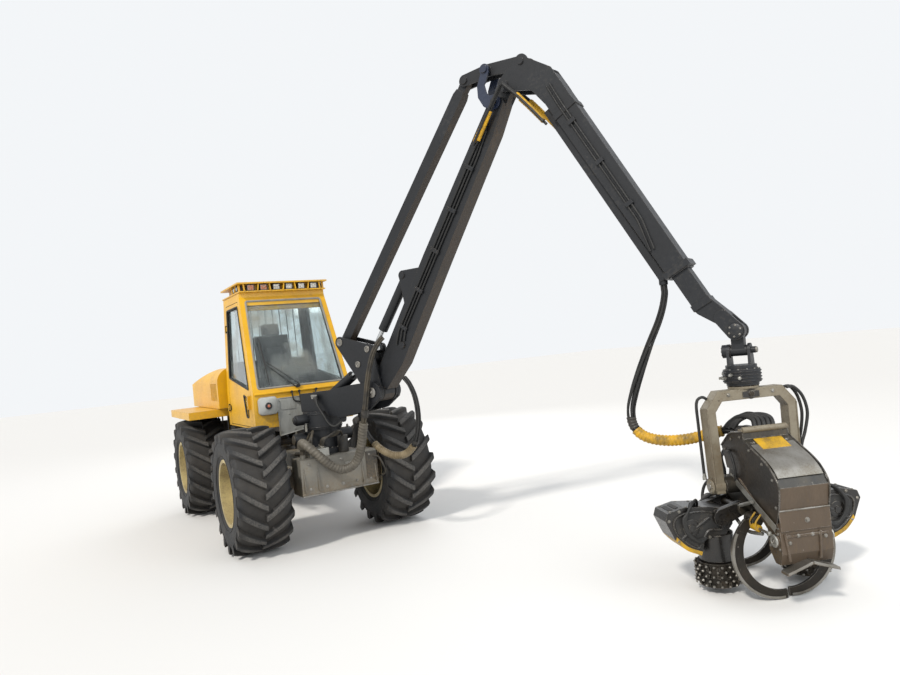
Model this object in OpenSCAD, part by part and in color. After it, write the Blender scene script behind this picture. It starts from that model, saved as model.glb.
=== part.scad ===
// Forestry harvester: two frames joined by a steering pivot, cab on the rear one, crane on the front one.
// +X is forward, +Y is left, +Z is up. The origin is on the ground under the middle of the front axle.

/* [Wheels] */
// Radius of a tyre over its lugs
tyre_r = 665; // [640:5:700]
// Width of a tyre over its sidewalls
tyre_w = 560; // [500:10:600]
// Height of the tread lugs
lug_h = 40; // [25:1:50]
// Lugs on each side of a tyre
lug_count = 16; // [14:1:18]
// Radius of the rim's bead seat
rim_r = 336; // [310:1:350]
// Width of the rim between its flanges
rim_w = 500; // [440:10:520]
// Distance across the machine between wheel centres
track = 1650; // [1620:10:1720]
// Distance between the axles
wheelbase = 2760; // [2700:10:2860]
// Radius of the spigot that a rim turns on
spigot_r = 90; // [70:1:110]

/* [Frames] */
// Height of the underside of the frame beams
beam_low = 800; // [780:5:820]
// Depth of the frame beams
beam_h = 150; // [120:5:180]
// Distance from the middle to the outer face of a frame beam
beam_out = 300; // [280:5:330]
// Thickness of a frame beam
beam_t = 90; // [60:5:120]
// How far the front frame reaches before the front axle
front_reach = 560; // [520:10:640]
// How far the rear frame reaches behind the rear axle
rear_reach = 940; // [860:10:1000]
// Half width of the bumper plate
bumper_half = 430; // [380:10:480]
// Height of the bumper plate's lower edge
bumper_low = 570; // [520:10:620]
// Thickness of the bumper plate
bumper_t = 30; // [20:2:40]
// Radius of the steering joint's pin
knuckle_r = 45; // [35:1:55]
// Side of the square axle beams
axle_side = 200; // [170:5:230]
// Radius of the differential housings
diff_r = 185; // [150:5:200]

/* [Cab] */
// Height of the cab's floor
cab_floor = 1250; // [1230:5:1280]
// Height of the sill under the windscreen
sill_z = 1670; // [1600:5:1720]
// Height of the windscreen's upper edge
screen_top = 2830; // [2760:5:2860]
// Height of the cab shell
cab_top = 2890; // [2870:5:2930]
// Place of the cab's front below the sill
cab_front = -430; // [-460:5:-400]
// Place of the windscreen's upper edge
screen_back = -900; // [-950:5:-850]
// Place of the cab's rear wall
cab_rear = -1760; // [-1800:5:-1740]
// Half width of the cab up to the sill
cab_half = 600; // [560:5:620]
// Half width of the cab at its top
cab_half_top = 540; // [520:5:570]
// Thickness of the cab's walls and door
wall = 46; // [30:2:60]
// Thickness of the window panes
glass_t = 6; // [5:1:10]
// Overhang of the roof before the windscreen
visor = 60; // [20:5:90]
// Height of the roof with its lamp row
roof_h = 120; // [90:5:140]

/* [Hood and fenders] */
// Height of the hood at its front
hood_top = 2000; // [1940:10:2060]
// Height of the hood at its rear
hood_top_rear = 1800; // [1720:10:1900]
// Half width of the hood
hood_half = 700; // [660:10:740]
// Place of the hood's front edge
hood_front = -1845; // [-1860:5:-1842]
// Length of the hood
hood_len = 1860; // [1780:10:1960]
// Thickness of the hood's sheet with its stiffeners
hood_t = 24; // [16:2:36]
// Height of the rear fenders' deck
deck_z = 1460; // [1440:5:1500]
// Half width over the rear fenders
fender_half = 1080; // [1040:5:1100]

/* [Crane base] */
// Place of the slew axis before the front axle
slew_x = 150; // [100:5:200]
// Slew angle of the crane as parked
slew_at = 24.5; // [0:0.5:40]
// Radius of the slew drum
drum_r = 210; // [180:5:230]
// Height of the slew drum's top
drum_top = 1420; // [1400:5:1440]
// Distance of the main crane pin from the slew axis
main_u = 930; // [900:5:960]
// Height of the main crane pin
main_v = 1590; // [1560:5:1620]
// Radius of the main crane pin
main_pin_r = 40; // [32:1:50]
// Distance of the lift cylinder's base pin from the slew axis
lift_u = 150; // [130:5:180]
// Height of the lift cylinder's base pin
lift_v = 1560; // [1545:5:1575]

/* [Crane links] */
// Length of the main boom between its pins
boom_len = 3227; // [3100:1:3400]
// Lean of the main boom from level
boom_lean = 55.3; // [50:0.1:60]
// Depth of the main boom at its middle
boom_depth = 240; // [200:5:270]
// Half width of the main boom
boom_half = 80; // [70:1:82]
// Length of the crank from the main pin to the tie bar's pin
crank_len = 701; // [680:1:720]
// Length of the crank from the main pin to the lift rod's pin
lift_arm = 360; // [345:1:375]
// Length of the crank from the main pin to the reach rod's pin
reach_arm = 452; // [435:1:470]
// Thickness of the crank's plates
crank_t = 25; // [18:1:28]
// Place of the reach cylinder's bracket along the boom
bracket_at = 1206; // [1160:1:1260]
// Height of that bracket's pin over the boom's line
bracket_up = 265; // [250:1:285]
// Depth of the tie bar
tie_depth = 110; // [90:5:120]
// Length of the rocker between its pins
rocker_len = 323; // [310:1:335]
// Radius of the stick's short arm to the coupler's pin
stick_arm = 228; // [220:1:240]
// Length of the coupler behind the rocker's pin
coupler_tail = 248; // [235:1:260]
// Depth of the stick's box
stick_depth = 215; // [190:5:225]
// Length of the stick's box
stick_box = 2026; // [1900:2:2200]
// Lean of the stick below level
stick_lean = 62; // [58:0.5:66]
// Length of the extension that shows
ext_show = 597; // [560:1:640]
// Radius of the crane's small pins
pin_r = 28; // [22:1:32]

/* [Cylinders] */
// Radius of the lift cylinder's barrel
lift_barrel_r = 55; // [45:1:60]
// Radius of the lift cylinder's rod
lift_rod_r = 28; // [22:1:32]
// Radius of the reach cylinder's barrel
reach_barrel_r = 50; // [42:1:55]
// Radius of the reach cylinder's rod
reach_rod_r = 25; // [20:1:30]
// Radius of a steering cylinder's barrel
steer_barrel_r = 38; // [30:1:42]
// Radius of a steering cylinder's rod
steer_rod_r = 19; // [15:1:22]

/* [Head] */
// Turn of the head against the crane, about the upright
head_turn = -49.5; // [-60:0.5:-30]
// Radius of the rotator
rotator_r = 130; // [115:1:140]
// Height of the hanger arch's top
arch_top = 1450; // [1440:2:1460]
// Half width of the hanger arch
arch_half = 345; // [335:1:355]
// Width of the arch's legs
leg_w = 66; // [56:2:70]
// Height of the tilt pin
tilt_z = 760; // [740:5:780]
// Place of the tilt pin along the head
tilt_x = 40; // [20:5:60]
// Half width of the head's cover
cover_half = 172; // [160:2:180]
// Radius of the feed rollers over their spikes
roller_r = 165; // [150:1:175]
// Height of the feed rollers
roller_h = 170; // [150:5:180]
// Spikes round a feed roller
spike_count = 14; // [10:1:18]
// Reach of the saw bar
saw_reach = 560; // [500:10:600]

/* [Fits] */
// Radial clearance of a pin in its bore
fit = 0.3; // [0.2:0.05:0.5]
// Side clearance between a plate and its neighbour
side_gap = 6; // [5:0.5:8]
// Side clearance of an eye on its pin
eye_gap = 2; // [1:0.5:3]
// Joint between pieces of one body that lie side by side
seam = 0.3; // [0.1:0.1:0.6]
// Gap round the door and the hood
shut_gap = 6; // [5:0.5:8]

/* [Hidden] */
$fn = 48;

// Point at a length and an angle from the origin of a side view
function at(len, ang) = [len * cos(ang), len * sin(ang)];
function angle_of(v) = atan2(v.y, v.x);
// Point given by its distance along and to the left of a direction
function along(ang, s, o) = at(s, ang) + at(o, ang + 90);

hood_rear = hood_front - hood_len;
axle_z = tyre_r;
rear_x = -wheelbase;
pivot_x = -wheelbase / 2;
half_track = track / 2;
beam_top = beam_low + beam_h;

// Crane pins in the side view of the crane: distance from the slew axis, and height
main_pin = [main_u, main_v];
lift_base = [lift_u, lift_v];
stick_pin = main_pin + at(boom_len, boom_lean);
tie_low = main_pin + at(crank_len, 128.5);
lift_eye = main_pin + at(lift_arm, 124);
reach_eye = main_pin + at(reach_arm, 97);
bracket_pin = main_pin + along(boom_lean, bracket_at, bracket_up);
rocker_pin = stick_pin + along(boom_lean, -178, 27);
rocker_top = rocker_pin + at(rocker_len, 101.4);
stick_top = stick_pin + at(stick_arm, 40);
tie_top = rocker_top + at(coupler_tail, angle_of(rocker_top - stick_top) + 9.6);
// The stick's box starts this far along and outward from its pin
stick_start = 260;
stick_out = 293;
// The tip pin lies outward of the extension's line
tip_out = 90;
tip_pin = stick_pin + along(-stick_lean, stick_start + stick_box + ext_show, stick_out + tip_out);
tip_u = tip_pin.x;

// Widths across the crane, from the middle outward
tongue_half = 34;
coupler_in = tongue_half + side_gap;
coupler_out = coupler_in + 16;
stick_in = coupler_out + side_gap;
stick_plate_out = stick_in + 18;
rocker_in = stick_plate_out + side_gap;
rocker_out = rocker_in + 16;
bracket_in = reach_barrel_r + side_gap;
bracket_out = bracket_in + 22;
crank_in = 96;
crank_out = crank_in + crank_t;
cheek_in = crank_out + side_gap;
cheek_out = cheek_in + 34;

// Frames of reference
module on_crane() translate([slew_x, 0, 0]) rotate([0, 0, slew_at]) children();
module at_pin(p, ang = 0) translate([p.x, 0, p.y]) rotate([0, -ang, 0]) children();
module on_head() on_crane() translate([tip_u, 0, 0]) rotate([0, 0, head_turn]) children();

// A side view given thickness from y0 to y1
module slab(y0, y1) translate([0, y1, 0]) rotate([90, 0, 0]) linear_extrude(y1 - y0) children();
module both_sides(y0, y1) {
    slab(y0, y1) children();
    slab(-y1, -y0) children();
}
// A round bar across the side view
module cross(p, r, y0, y1) translate([p.x, y1, p.y]) rotate([90, 0, 0]) cylinder(r = r, h = y1 - y0);
module cross_both(p, r, y0, y1) {
    cross(p, r, y0, y1);
    cross(p, r, -y1, -y0);
}
// Outline of a bar with round ends between two points; its flanks lie a hair inside the tangents,
// so that each meets its circle at a clear corner
flank_in = 0.4;
module link(p, rp, q, rq) {
    d = norm(q - p);
    a = angle_of(q - p);
    b = acos((rp - rq) / d);
    rp1 = rp - flank_in;
    rq1 = rq - flank_in;
    translate(p) circle(rp);
    translate(q) circle(rq);
    polygon([p + at(rp1, a + b), p + at(rp1, a - b), q + at(rq1, a - b), q + at(rq1, a + b)]);
}
// A front view given depth from x0 to x1
module depth(x0, x1) translate([x0, 0, 0]) rotate([90, 0, 90]) linear_extrude(x1 - x0) children();
module box(x0, x1, y0, y1, z0, z1) translate([x0, y0, z0]) cube([x1 - x0, y1 - y0, z1 - z0]);
module linear_extrude_at(z, h) translate([0, 0, z]) linear_extrude(h) children();
module mirrored_y() {
    children();
    mirror([0, 1, 0]) children();
}

// Wheels
rim_flange = 24;
tread_r = tyre_r - lug_h;
// Tyre section, outer half: distance from the wheel's middle, radius
bead_y = rim_w / 2 - 12;
tyre_section = [[bead_y, rim_r + 4], [bead_y, rim_r + rim_flange + 6], [tyre_w / 2, rim_r + 130],
    [tyre_w / 2 - 26, tread_r - 20]];
// How far a lug's shoulder end runs behind its middle end, in degrees round the tyre
lug_sweep = 14;
// Sections of a lug: turn, distance from the middle, top, foot, length at the top, length at the foot
lug_sections = [[0, -6, tyre_r, tread_r - 30, 34, 46],
    [lug_sweep * 0.72, tyre_w * 0.29, tyre_r - 1, tread_r - 34, 38, 54],
    [lug_sweep, tyre_w / 2 - 4, tyre_r - 24, tread_r - 84, 46, 66]];
function lug_corner(b, x, z) = [x * cos(b[0]) + z * sin(b[0]), b[1], z * cos(b[0]) - x * sin(b[0])];
function lug_ring(b) = [lug_corner(b, -b[5] / 2, b[3]), lug_corner(b, b[5] / 2, b[3]),
    lug_corner(b, b[4] / 2, b[2]), lug_corner(b, -b[4] / 2, b[2])];
module lug() {
    last = 4 * (len(lug_sections) - 1);
    polyhedron([for (b = lug_sections) each lug_ring(b)], concat([[3, 2, 1, 0]],
        [[last, last + 1, last + 2, last + 3]],
        [for (i = [0 : 4 : last - 4]) for (k = [0 : 3]) each [
            [i + k, i + 4 + (k + 1) % 4, i + 4 + k], [i + k, i + (k + 1) % 4, i + 4 + (k + 1) % 4]]]));
}
module tyre(x, side) {
    color("#22211f") translate([x, side * half_track, axle_z]) mirror([0, side < 0 ? 1 : 0, 0]) union() {
        rotate([90, 0, 0]) difference() {
            rotate_extrude() polygon(concat(
                [for (p = tyre_section) [p.y, p.x]],
                [for (i = [len(tyre_section) - 1 : -1 : 0]) [tyre_section[i].y, -tyre_section[i].x]]));
            cylinder(r = rim_r + seam, h = 2 * tyre_w, center = true);
        }
        for (i = [0 : lug_count - 1]) {
            rotate([0, i * 360 / lug_count, 0]) lug();
            rotate([0, (i + 0.5) * 360 / lug_count, 0]) mirror([0, 1, 0]) lug();
        }
    }
}
disc_at = 40;
module rim(x, side) {
    color("#d8cfae") translate([x, side * half_track, axle_z]) mirror([0, side < 0 ? 1 : 0, 0])
        rotate([-90, 0, 0]) {
        rotate_extrude() polygon([[spigot_r + fit, disc_at], [spigot_r + fit, disc_at + 40],
            [rim_r - 60, disc_at + 24],
            [rim_r - 12, disc_at + 60], [rim_r - 12, rim_w / 2], [rim_r + rim_flange, rim_w / 2 + 2],
            [rim_r + rim_flange, rim_w / 2 - 8], [rim_r, bead_y + seam], [rim_r, -bead_y - seam],
            [rim_r + rim_flange, -rim_w / 2 + 8], [rim_r + rim_flange, -rim_w / 2 - 2],
                [rim_r - 12, -rim_w / 2],
            [rim_r - 12, disc_at + 20], [rim_r - 70, disc_at]]);
    }
}

// Axle: square beam with a round differential housing and a drum and spigot at each end
drum_len = 150;
module axle(x) {
    color("#3a3836") translate([x, 0, axle_z]) {
        inner = half_track + disc_at - 8;
        box(-axle_side / 2, axle_side / 2, -(inner - drum_len), inner - drum_len, -axle_side / 2,
            axle_side / 2);
        translate([0, 0, -15]) rotate([0, 90, 0]) cylinder(r = diff_r - 15, h = axle_side + 90,
            center = true);
        mirrored_y() translate([0, inner - drum_len, 0]) rotate([-90, 0, 0]) {
            cylinder(r = 190, h = drum_len);
            cylinder(r = spigot_r, h = drum_len + 70);
        }
    }
}

// Rear frame: two beams, cross members, the rails under the cab, the fork of the steering joint, rear plate
neck_top = 900;
neck_low = 560;
fork_t = 60;
neck_x = pivot_x - 330;
rail_low = cab_floor - 110;
rail_out = beam_out - 10;
module rear_frame() {
    back = rear_x - rear_reach;
    color("#4b4a48") difference() {
        union() {
            mirrored_y() box(back, neck_x, beam_out - beam_t, beam_out, beam_low, beam_top);
            for (x = [neck_x - 100, rear_x + 420, rear_x - 460])
                box(x - 50, x + 50, -beam_out, beam_out, beam_low + 20, beam_top - 20);
            mirrored_y() box(rear_x - 130, rear_x + 130, beam_out - beam_t, beam_out,
                axle_z + axle_side / 2, beam_low);
            box(neck_x - 140, neck_x, -beam_out, beam_out, neck_low, beam_top);
            mirrored_y() slab(rail_out - 60, rail_out)
                polygon([[neck_x - 260, beam_top - 1], [neck_x - 260, cab_floor],
                [cab_front - 140, cab_floor], [cab_front - 140, rail_low + 40], [neck_x + 180, rail_low],
                    [neck_x, beam_top - 1]]);
            for (x = [neck_x - 240, cab_front - 190])
                box(x, x + 50, -rail_out, rail_out, rail_low + 45, cab_floor);
            for (z = [neck_low, neck_top - fork_t]) translate([0, 0, z]) linear_extrude(fork_t)
                link([pivot_x, 0], 110, [neck_x - 60, 0], 240);
            mirrored_y() for (z = [steer_z - 50, steer_z + 30])
                box(steer_base.x - 45, steer_base.x + 45, beam_out - 1, steer_base.y + 40, z, z + 20);
        }
        translate([pivot_x, 0, neck_low - 1]) cylinder(r = knuckle_r + fit, h = neck_top - neck_low + 2);
        mirrored_y() translate([steer_base.x, steer_base.y, steer_z - 60])
            cylinder(r = steer_pin_r + fit, h = 120);
    }
}
// Rear plate across the beams' ends, with the towing jaw and the brackets of the hood's hinge
plate_t = 60;
module rear_plate() color("#4b4a48") {
    back = rear_x - rear_reach;
    difference() {
        union() {
            box(back - plate_t, back, -520, 520, 620, 1180);
            tow_jaw(back - plate_t);
            mirrored_y() hood_bracket();
        }
        translate([back - plate_t - 70, 0, tow_z - 100]) cylinder(r = tow_pin_r, h = 200);
    }
}
// Hinge of the hood: axis behind its rear wall, bracket on the rear plate
hood_axis = [hood_rear - 22, deck_z + 30];
hood_pin_r = 7;
hinge_y = 300;
hinge_w = 40;
module hood_bracket() {
    back = rear_x - rear_reach;
    for (y = [hinge_y - 16 - eye_gap, hinge_y + hinge_w + eye_gap]) slab(y, y + 16) {
        polygon([[back - 58, 1100], [back - 8, 1100], [hood_axis.x + 13, hood_axis.y],
            [hood_axis.x - 13, hood_axis.y]]);
        translate(hood_axis) circle(13);
    }
    cross(hood_axis, hood_pin_r, hinge_y - 17, hinge_y + hinge_w + 17);
}
// Towing jaw on the rear plate
tow_pin_r = 26;
tow_z = 740;
module tow_jaw(x) for (z = [tow_z - 40, tow_z + 15]) {
    box(x - 70, x + 1, -60, 60, z, z + 25);
    translate([x - 70, 0, z]) cylinder(r = 60, h = 25);
}
module rear_axle() axle(rear_x);
module engine_block() color("#5b5f60")
    box(engine_x[0], engine_x[1], -engine_half, engine_half, beam_top, 1560);

// Front frame: two beams over the axle, the neck and tongue of the steering joint, bumper plate
tongue_low = neck_low + fork_t + side_gap;
tongue_top = neck_top - fork_t - side_gap;
neck_front = -520;
neck_half = 190;
module front_frame() {
    color("#77756f") {
        mirrored_y() box(neck_front + 90, front_reach - bumper_t, beam_out - beam_t, beam_out, beam_low,
            beam_top);
        box(neck_front + 90, front_reach - bumper_t, -beam_out, beam_out, beam_top - 30, beam_top);
        mirrored_y() box(-130, 130, beam_out - beam_t, beam_out, axle_z + axle_side / 2, beam_low);
        box(front_reach - bumper_t, front_reach, -bumper_half, bumper_half, bumper_low, beam_top);
        mirrored_y() box(front_reach - 300, front_reach - bumper_t, bumper_half - 24, bumper_half,
            bumper_low, beam_top);
        mirrored_y() box(front_reach - 300, front_reach - 270, beam_out, bumper_half, bumper_low + 60,
            beam_top);
        box(front_reach - 300, front_reach - bumper_t, -bumper_half, bumper_half, bumper_low,
            bumper_low + 24);
        mirrored_y() box(front_reach - 300, front_reach - bumper_t, beam_out, bumper_half, beam_top - 24,
            beam_top);
        box(neck_front, neck_front + 90, -beam_out, beam_out, beam_low, beam_top);
        box(neck_front, neck_front + 90, -neck_half, neck_half, neck_low + fork_t, beam_low + 1);
        box(pivot_x + 80, neck_front, -120, 120, tongue_low, tongue_top);
        translate([pivot_x, 0, tongue_low]) cylinder(r = 120, h = tongue_top - tongue_low);
        mirrored_y() for (z = [steer_z - 50, steer_z + 30])
            linear_extrude_at(z, steer_lug_t) polygon([[neck_front + 60, neck_half - 30],
                [neck_front + 1, neck_half - 60],
                [steer_eye.x - 45, steer_eye.y - 30], [steer_eye.x - 45, steer_eye.y + 50],
                    [steer_eye.x + 50, steer_eye.y + 50]]);
        translate([front_gland.x, front_gland.y, beam_top - 1])
            cylinder(r = gland_r, h = front_gland.z - beam_top + 1);
    }
    color("#5a5a58") translate([pivot_x, 0, neck_low - 14]) {
        cylinder(r = knuckle_r, h = neck_top - neck_low + 28);
        cylinder(r = knuckle_r + 16, h = 14 - eye_gap);
        translate([0, 0, neck_top - neck_low + 14 + eye_gap])
            cylinder(r = knuckle_r + 16, h = 14 - eye_gap);
    }
}
module front_axle() axle(0);
stub_r = 90;
stub_h = 60;
module crane_pedestal() {
    color("#26282b") translate([slew_x, 0, 0]) {
        translate([0, 0, beam_top]) cylinder(r = drum_r + 40, h = 60);
        translate([0, 0, beam_top + 59]) cylinder(r = drum_r - 20, h = drum_top - 200 - beam_top);
        translate([0, 0, drum_top - 200]) cylinder(r = drum_r, h = 200 - seam);
        translate([0, 0, drum_top - 1]) cylinder(r = stub_r, h = stub_h + 1);
    }
}

// Steering cylinders: base on the rear frame, rod's eye on the front frame
steer_base = [pivot_x - 375, beam_out + 130];
steer_eye = [-575, beam_out];
steer_z = 740;
steer_pin_r = 16;
steer_lug_t = 20;
steer_len = norm(steer_eye - steer_base);
steer_barrel_len = 713;
steer_rod_len = 790;
module on_steer(side) translate([steer_base.x, side * steer_base.y, steer_z])
    rotate([0, 0, side * angle_of(steer_eye - steer_base)]) children();
module steer_barrel(side) color("#1f2022") on_steer(side) {
    difference() {
        union() {
            cylinder(r = 34, h = 56, center = true);
            translate([68, 0, 0]) rotate([0, 90, 0])
                cylinder(r = steer_barrel_r, h = steer_barrel_len - 68);
            translate([20, 0, 0]) rotate([0, 90, 0]) cylinder(r = 26, h = 60);
        }
        cylinder(r = steer_pin_r - 1, h = 300, center = true);
        translate([90, 0, 0]) rotate([0, 90, 0]) cylinder(r = steer_rod_r + fit, h = steer_len);
    }
    cylinder(r = steer_pin_r, h = 118, center = true);
}
module steer_rod(side) color("#b9bcbe") on_steer(side) {
    translate([steer_len, 0, 0]) cylinder(r = 30, h = 56, center = true);
    translate([steer_len - steer_rod_len, 0, 0]) rotate([0, 90, 0])
        cylinder(r = steer_rod_r, h = steer_rod_len - 10);
}

// Cab: outline from the side, and half outline from the front
cab_side = [[cab_front, cab_floor], [cab_front, sill_z], [screen_back, screen_top],
    [screen_back - 10, cab_top],
    [cab_rear, cab_top], [cab_rear, cab_floor]];
screen_lean = angle_of([screen_back - cab_front, screen_top - sill_z]);
function screen_x(z) = cab_front + (z - sill_z) * (screen_back - cab_front) / (screen_top - sill_z);
function cab_half_at(z) = z < sill_z ? cab_half : cab_half + (z - sill_z) * (cab_half_top - cab_half) / (cab_top - sill_z);
module cab_front_view(grow) polygon([[-cab_half - grow, cab_floor - 1], [cab_half + grow, cab_floor - 1],
    [cab_half + grow, sill_z], [cab_half_top + grow, cab_top + 1], [-cab_half_top - grow, cab_top + 1],
    [-cab_half - grow, sill_z]]);
module cab_solid(grow) intersection() {
    slab(-cab_half - 10, cab_half + 10) offset_side(grow);
    depth(cab_rear - 10, cab_front + 10) cab_front_view(grow);
}
// The side outline drawn in by a wall, with its corners kept sharp
module offset_side(grow) polygon([[cab_front + grow, cab_floor - grow],
    [cab_front + grow, sill_z + grow * 0.2],
    [screen_back + grow, screen_top + grow * 0.2], [screen_back + grow, cab_top + grow],
        [cab_rear - grow, cab_top + grow],
    [cab_rear - grow, cab_floor - grow]]);
// Door outline from the side, drawn in by a gap
door_rear = cab_rear + 130;
door_front_low = cab_front - 110;
function door_front(z) = (z < sill_z ? door_front_low : screen_x(z) - 100);
module door_outline(gap) polygon([[door_rear + gap, cab_floor + 20 + gap],
    [door_front_low - gap, cab_floor + 20 + gap],
    [door_front_low - gap, sill_z], [door_front(screen_top - 40) - gap, screen_top - 40 - gap],
        [door_rear + gap, screen_top - 40 - gap]]);
// Windows from the side: upper and lower, as on the door
win_edge = 62;
module upper_window(gap) polygon([[door_rear + win_edge + gap, sill_z + 190 + gap],
    [door_front(sill_z + 40) - win_edge - gap, sill_z + 40 + gap],
    [door_front(screen_top - 100) - win_edge + 20 - gap, screen_top - 100 - gap],
        [door_rear + win_edge + gap, screen_top - 100 - gap]]);
module lower_window(gap) polygon([[door_front_low - 330 + gap, sill_z - 20 - gap],
    [door_front_low - 120 - gap, sill_z - 70 - gap],
    [door_front_low - 150 - gap, sill_z - 290 + gap], [door_front_low - 250 + gap, sill_z - 290 + gap]]);
module screen_view(gap) polygon([[-cab_half + 70 + gap, sill_z + 40 + gap],
    [cab_half - 70 - gap, sill_z + 40 + gap],
    [cab_half_at(screen_top) - 70 - gap, screen_top - 50 - gap],
        [-cab_half_at(screen_top) + 70 + gap, screen_top - 50 - gap]]);
module rear_view(gap) polygon([[-cab_half + 110 + gap, sill_z + 380 + gap],
    [cab_half - 110 - gap, sill_z + 380 + gap],
    [cab_half_top - 70 - gap, screen_top - 80 - gap], [-cab_half_top + 70 + gap, screen_top - 80 - gap]]);
// Door hinges: their line leans with the upper door
door_lean = atan2(cab_half - cab_half_top, cab_top - sill_z);
door_axis = [door_rear, -cab_half - 12, sill_z];
hinge_pin_r = 5;
module at_hinge(z) translate([door_axis.x, door_axis.y + (z - door_axis.z) * tan(door_lean), z])
    rotate([-door_lean, 0, 0]) children();
module knuckle(z0, h, reach, deep) {
    translate([0, 0, z0]) cylinder(r = 11, h = h);
    box(min(0, reach), max(0, reach), 2, deep, z0, z0 + h);
}
// Place of each hinge, and how far its leaf reaches in to the wall
door_hinges = [[sill_z - 190, 24], [sill_z + 830, 16]];
module cab_shell() {
    for (q = door_hinges) color("#1c1c1c") at_hinge(q[0]) {
        knuckle(-30 - eye_gap - 14, 14, -60, q[1]);
        knuckle(30 + eye_gap, 14, -60, q[1]);
        translate([0, 0, -45]) cylinder(r = hinge_pin_r, h = 90);
    }
    color("#e9a412") difference() {
        cab_solid(0);
        cab_solid(-wall);
        depth(cab_rear / 2, cab_front + 20) screen_view(0);
        depth(cab_rear - 20, cab_rear + wall + 20) rear_view(0);
        slab(-cab_half - 20, -cab_half_top + wall + 40) door_outline(0);
        slab(cab_half_top - wall - 40, cab_half + 20) upper_window(0);
        slab(cab_half_top - wall - 40, cab_half + 20) lower_window(0);
    }
}
// A pane in the middle of a wall's thickness
module pane_skin() difference() {
    cab_solid(-wall / 2 + glass_t / 2);
    cab_solid(-wall / 2 - glass_t / 2);
}
module cab_glass() color("#8fa6a8", 0.5) {
    intersection() {
        pane_skin();
        depth(cab_rear / 2, cab_front + 20) screen_view(seam);
    }
    intersection() {
        pane_skin();
        depth(cab_rear - 20, cab_rear + wall + 20) rear_view(seam);
    }
    intersection() {
        pane_skin();
        slab(cab_half_top - wall - 40, cab_half + 20) union() {
            upper_window(seam);
            lower_window(seam);
        }
    }
}
module cab_door() {
    color("#e9a412") difference() {
        intersection() {
            cab_solid(0);
            slab(-cab_half - 20, 0) door_outline(shut_gap);
        }
        depth(cab_rear - 20, cab_front + 20) cab_front_view(-wall);
        slab(-cab_half - 20, 0) upper_window(0);
        slab(-cab_half - 20, 0) lower_window(0);
    }
    for (q = door_hinges) color("#1c1c1c") at_hinge(q[0]) difference() {
        knuckle(-30, 60, 60, q[1]);
        translate([0, 0, -40]) cylinder(r = hinge_pin_r + fit, h = 80);
    }
    color("#1c1c1c") box(door_front_low - 70, door_front_low - 40, -cab_half - 30, -cab_half, sill_z - 190,
        sill_z - 30);
}
module door_glass() color("#8fa6a8", 0.5) intersection() {
    pane_skin();
    slab(-cab_half - 20, -cab_half_top + wall + 40) union() {
        upper_window(seam);
        lower_window(seam);
    }
}
// Roof: a flat cap with its lamp recess round the front
module cab_roof() {
    front = screen_back + visor;
    color("#e9a412") {
        box(cab_rear - 10, front, -cab_half_top - 10, cab_half_top + 10, cab_top, cab_top + 16);
        box(cab_rear + 60, front - 110, -cab_half_top + 70, cab_half_top - 70, cab_top + 16,
            cab_top + roof_h - 20);
        difference() {
            box(cab_rear + 20, front + 20, -cab_half_top - 30, cab_half_top + 30, cab_top + roof_h - 20,
                cab_top + roof_h);
            box(cab_rear + 200, front - 300, -cab_half_top + 200, cab_half_top - 200, cab_top + roof_h - 8,
                cab_top + roof_h + 1);
        }
    }
}
lamp_w = 92;
lamp_h = roof_h - 36 - 8;
module roof_lamp() {
    color("#1a1a1a") box(-60, 0, -lamp_w / 2, lamp_w / 2, 0, lamp_h);
    color("#e8e6da") box(0, 6, -lamp_w / 2 + 8, lamp_w / 2 - 8, 6, lamp_h - 6);
}
module work_lamps() {
    z = cab_top + 16;
    for (i = [-2.5 : 1 : 2.5]) translate([screen_back + visor - 30, i * 160, z]) roof_lamp();
    mirrored_y() for (x = [screen_back - 90, screen_back - 240])
        translate([x, cab_half_top - 10, z]) rotate([0, 0, 90]) roof_lamp();
    for (i = [-1, 1]) translate([cab_rear, i * 300, z]) rotate([0, 0, 180]) roof_lamp();
}
module operator_seat() color("#2d2d2f") {
    x = cab_rear + 560;
    box(x - 150, x + 150, -140, 140, cab_floor + wall, cab_floor + 300);
    box(x - 230, x + 240, -240, 240, cab_floor + 300, cab_floor + 420);
    translate([x - 230, 0, cab_floor + 380]) rotate([0, -12, 0]) box(-90, 10, -220, 220, 0, 760);
    mirrored_y() box(x - 160, x + 260, 250, 350, cab_floor + 480, cab_floor + 560);
    mirrored_y() box(x - 60, x + 20, 239, 300, cab_floor + 340, cab_floor + 481);
}

// Hood: rounded shell with grille openings in its sides, hinged at its rear lower edge
hood_round = 190;
module hood_section(grow) {
    w = hood_half + grow;
    t = hood_top + grow;
    r = hood_round + grow;
    polygon([[-w, deck_z - 200], [w, deck_z - 200], [w, t - r], [w - r, t], [-w + r, t], [-w, t - r]]);
    for (s = [-1, 1]) translate([s * (w - r), t - r]) circle(r);
}
module hood_slope(grow) polygon([[hood_front + grow, deck_z + shut_gap],
    [hood_front + grow, hood_top + grow], [hood_front - 500, hood_top + grow],
    [hood_rear - grow, hood_top_rear + grow], [hood_rear - grow, deck_z + shut_gap]]);
module hood_solid(grow) intersection() {
    depth(hood_rear - grow - 1, hood_front + grow + 1) hood_section(grow);
    slab(-hood_half - 20, hood_half + 20) hood_slope(grow);
}
module hood() color("#e9a412") {
    hood_shell();
    mirrored_y() slab(hinge_y, hinge_y + hinge_w) difference() {
        link(hood_axis, 12, [hood_rear + 10, hood_axis.y + 26], 12);
        translate(hood_axis) circle(hood_pin_r + fit);
    }
}
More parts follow.
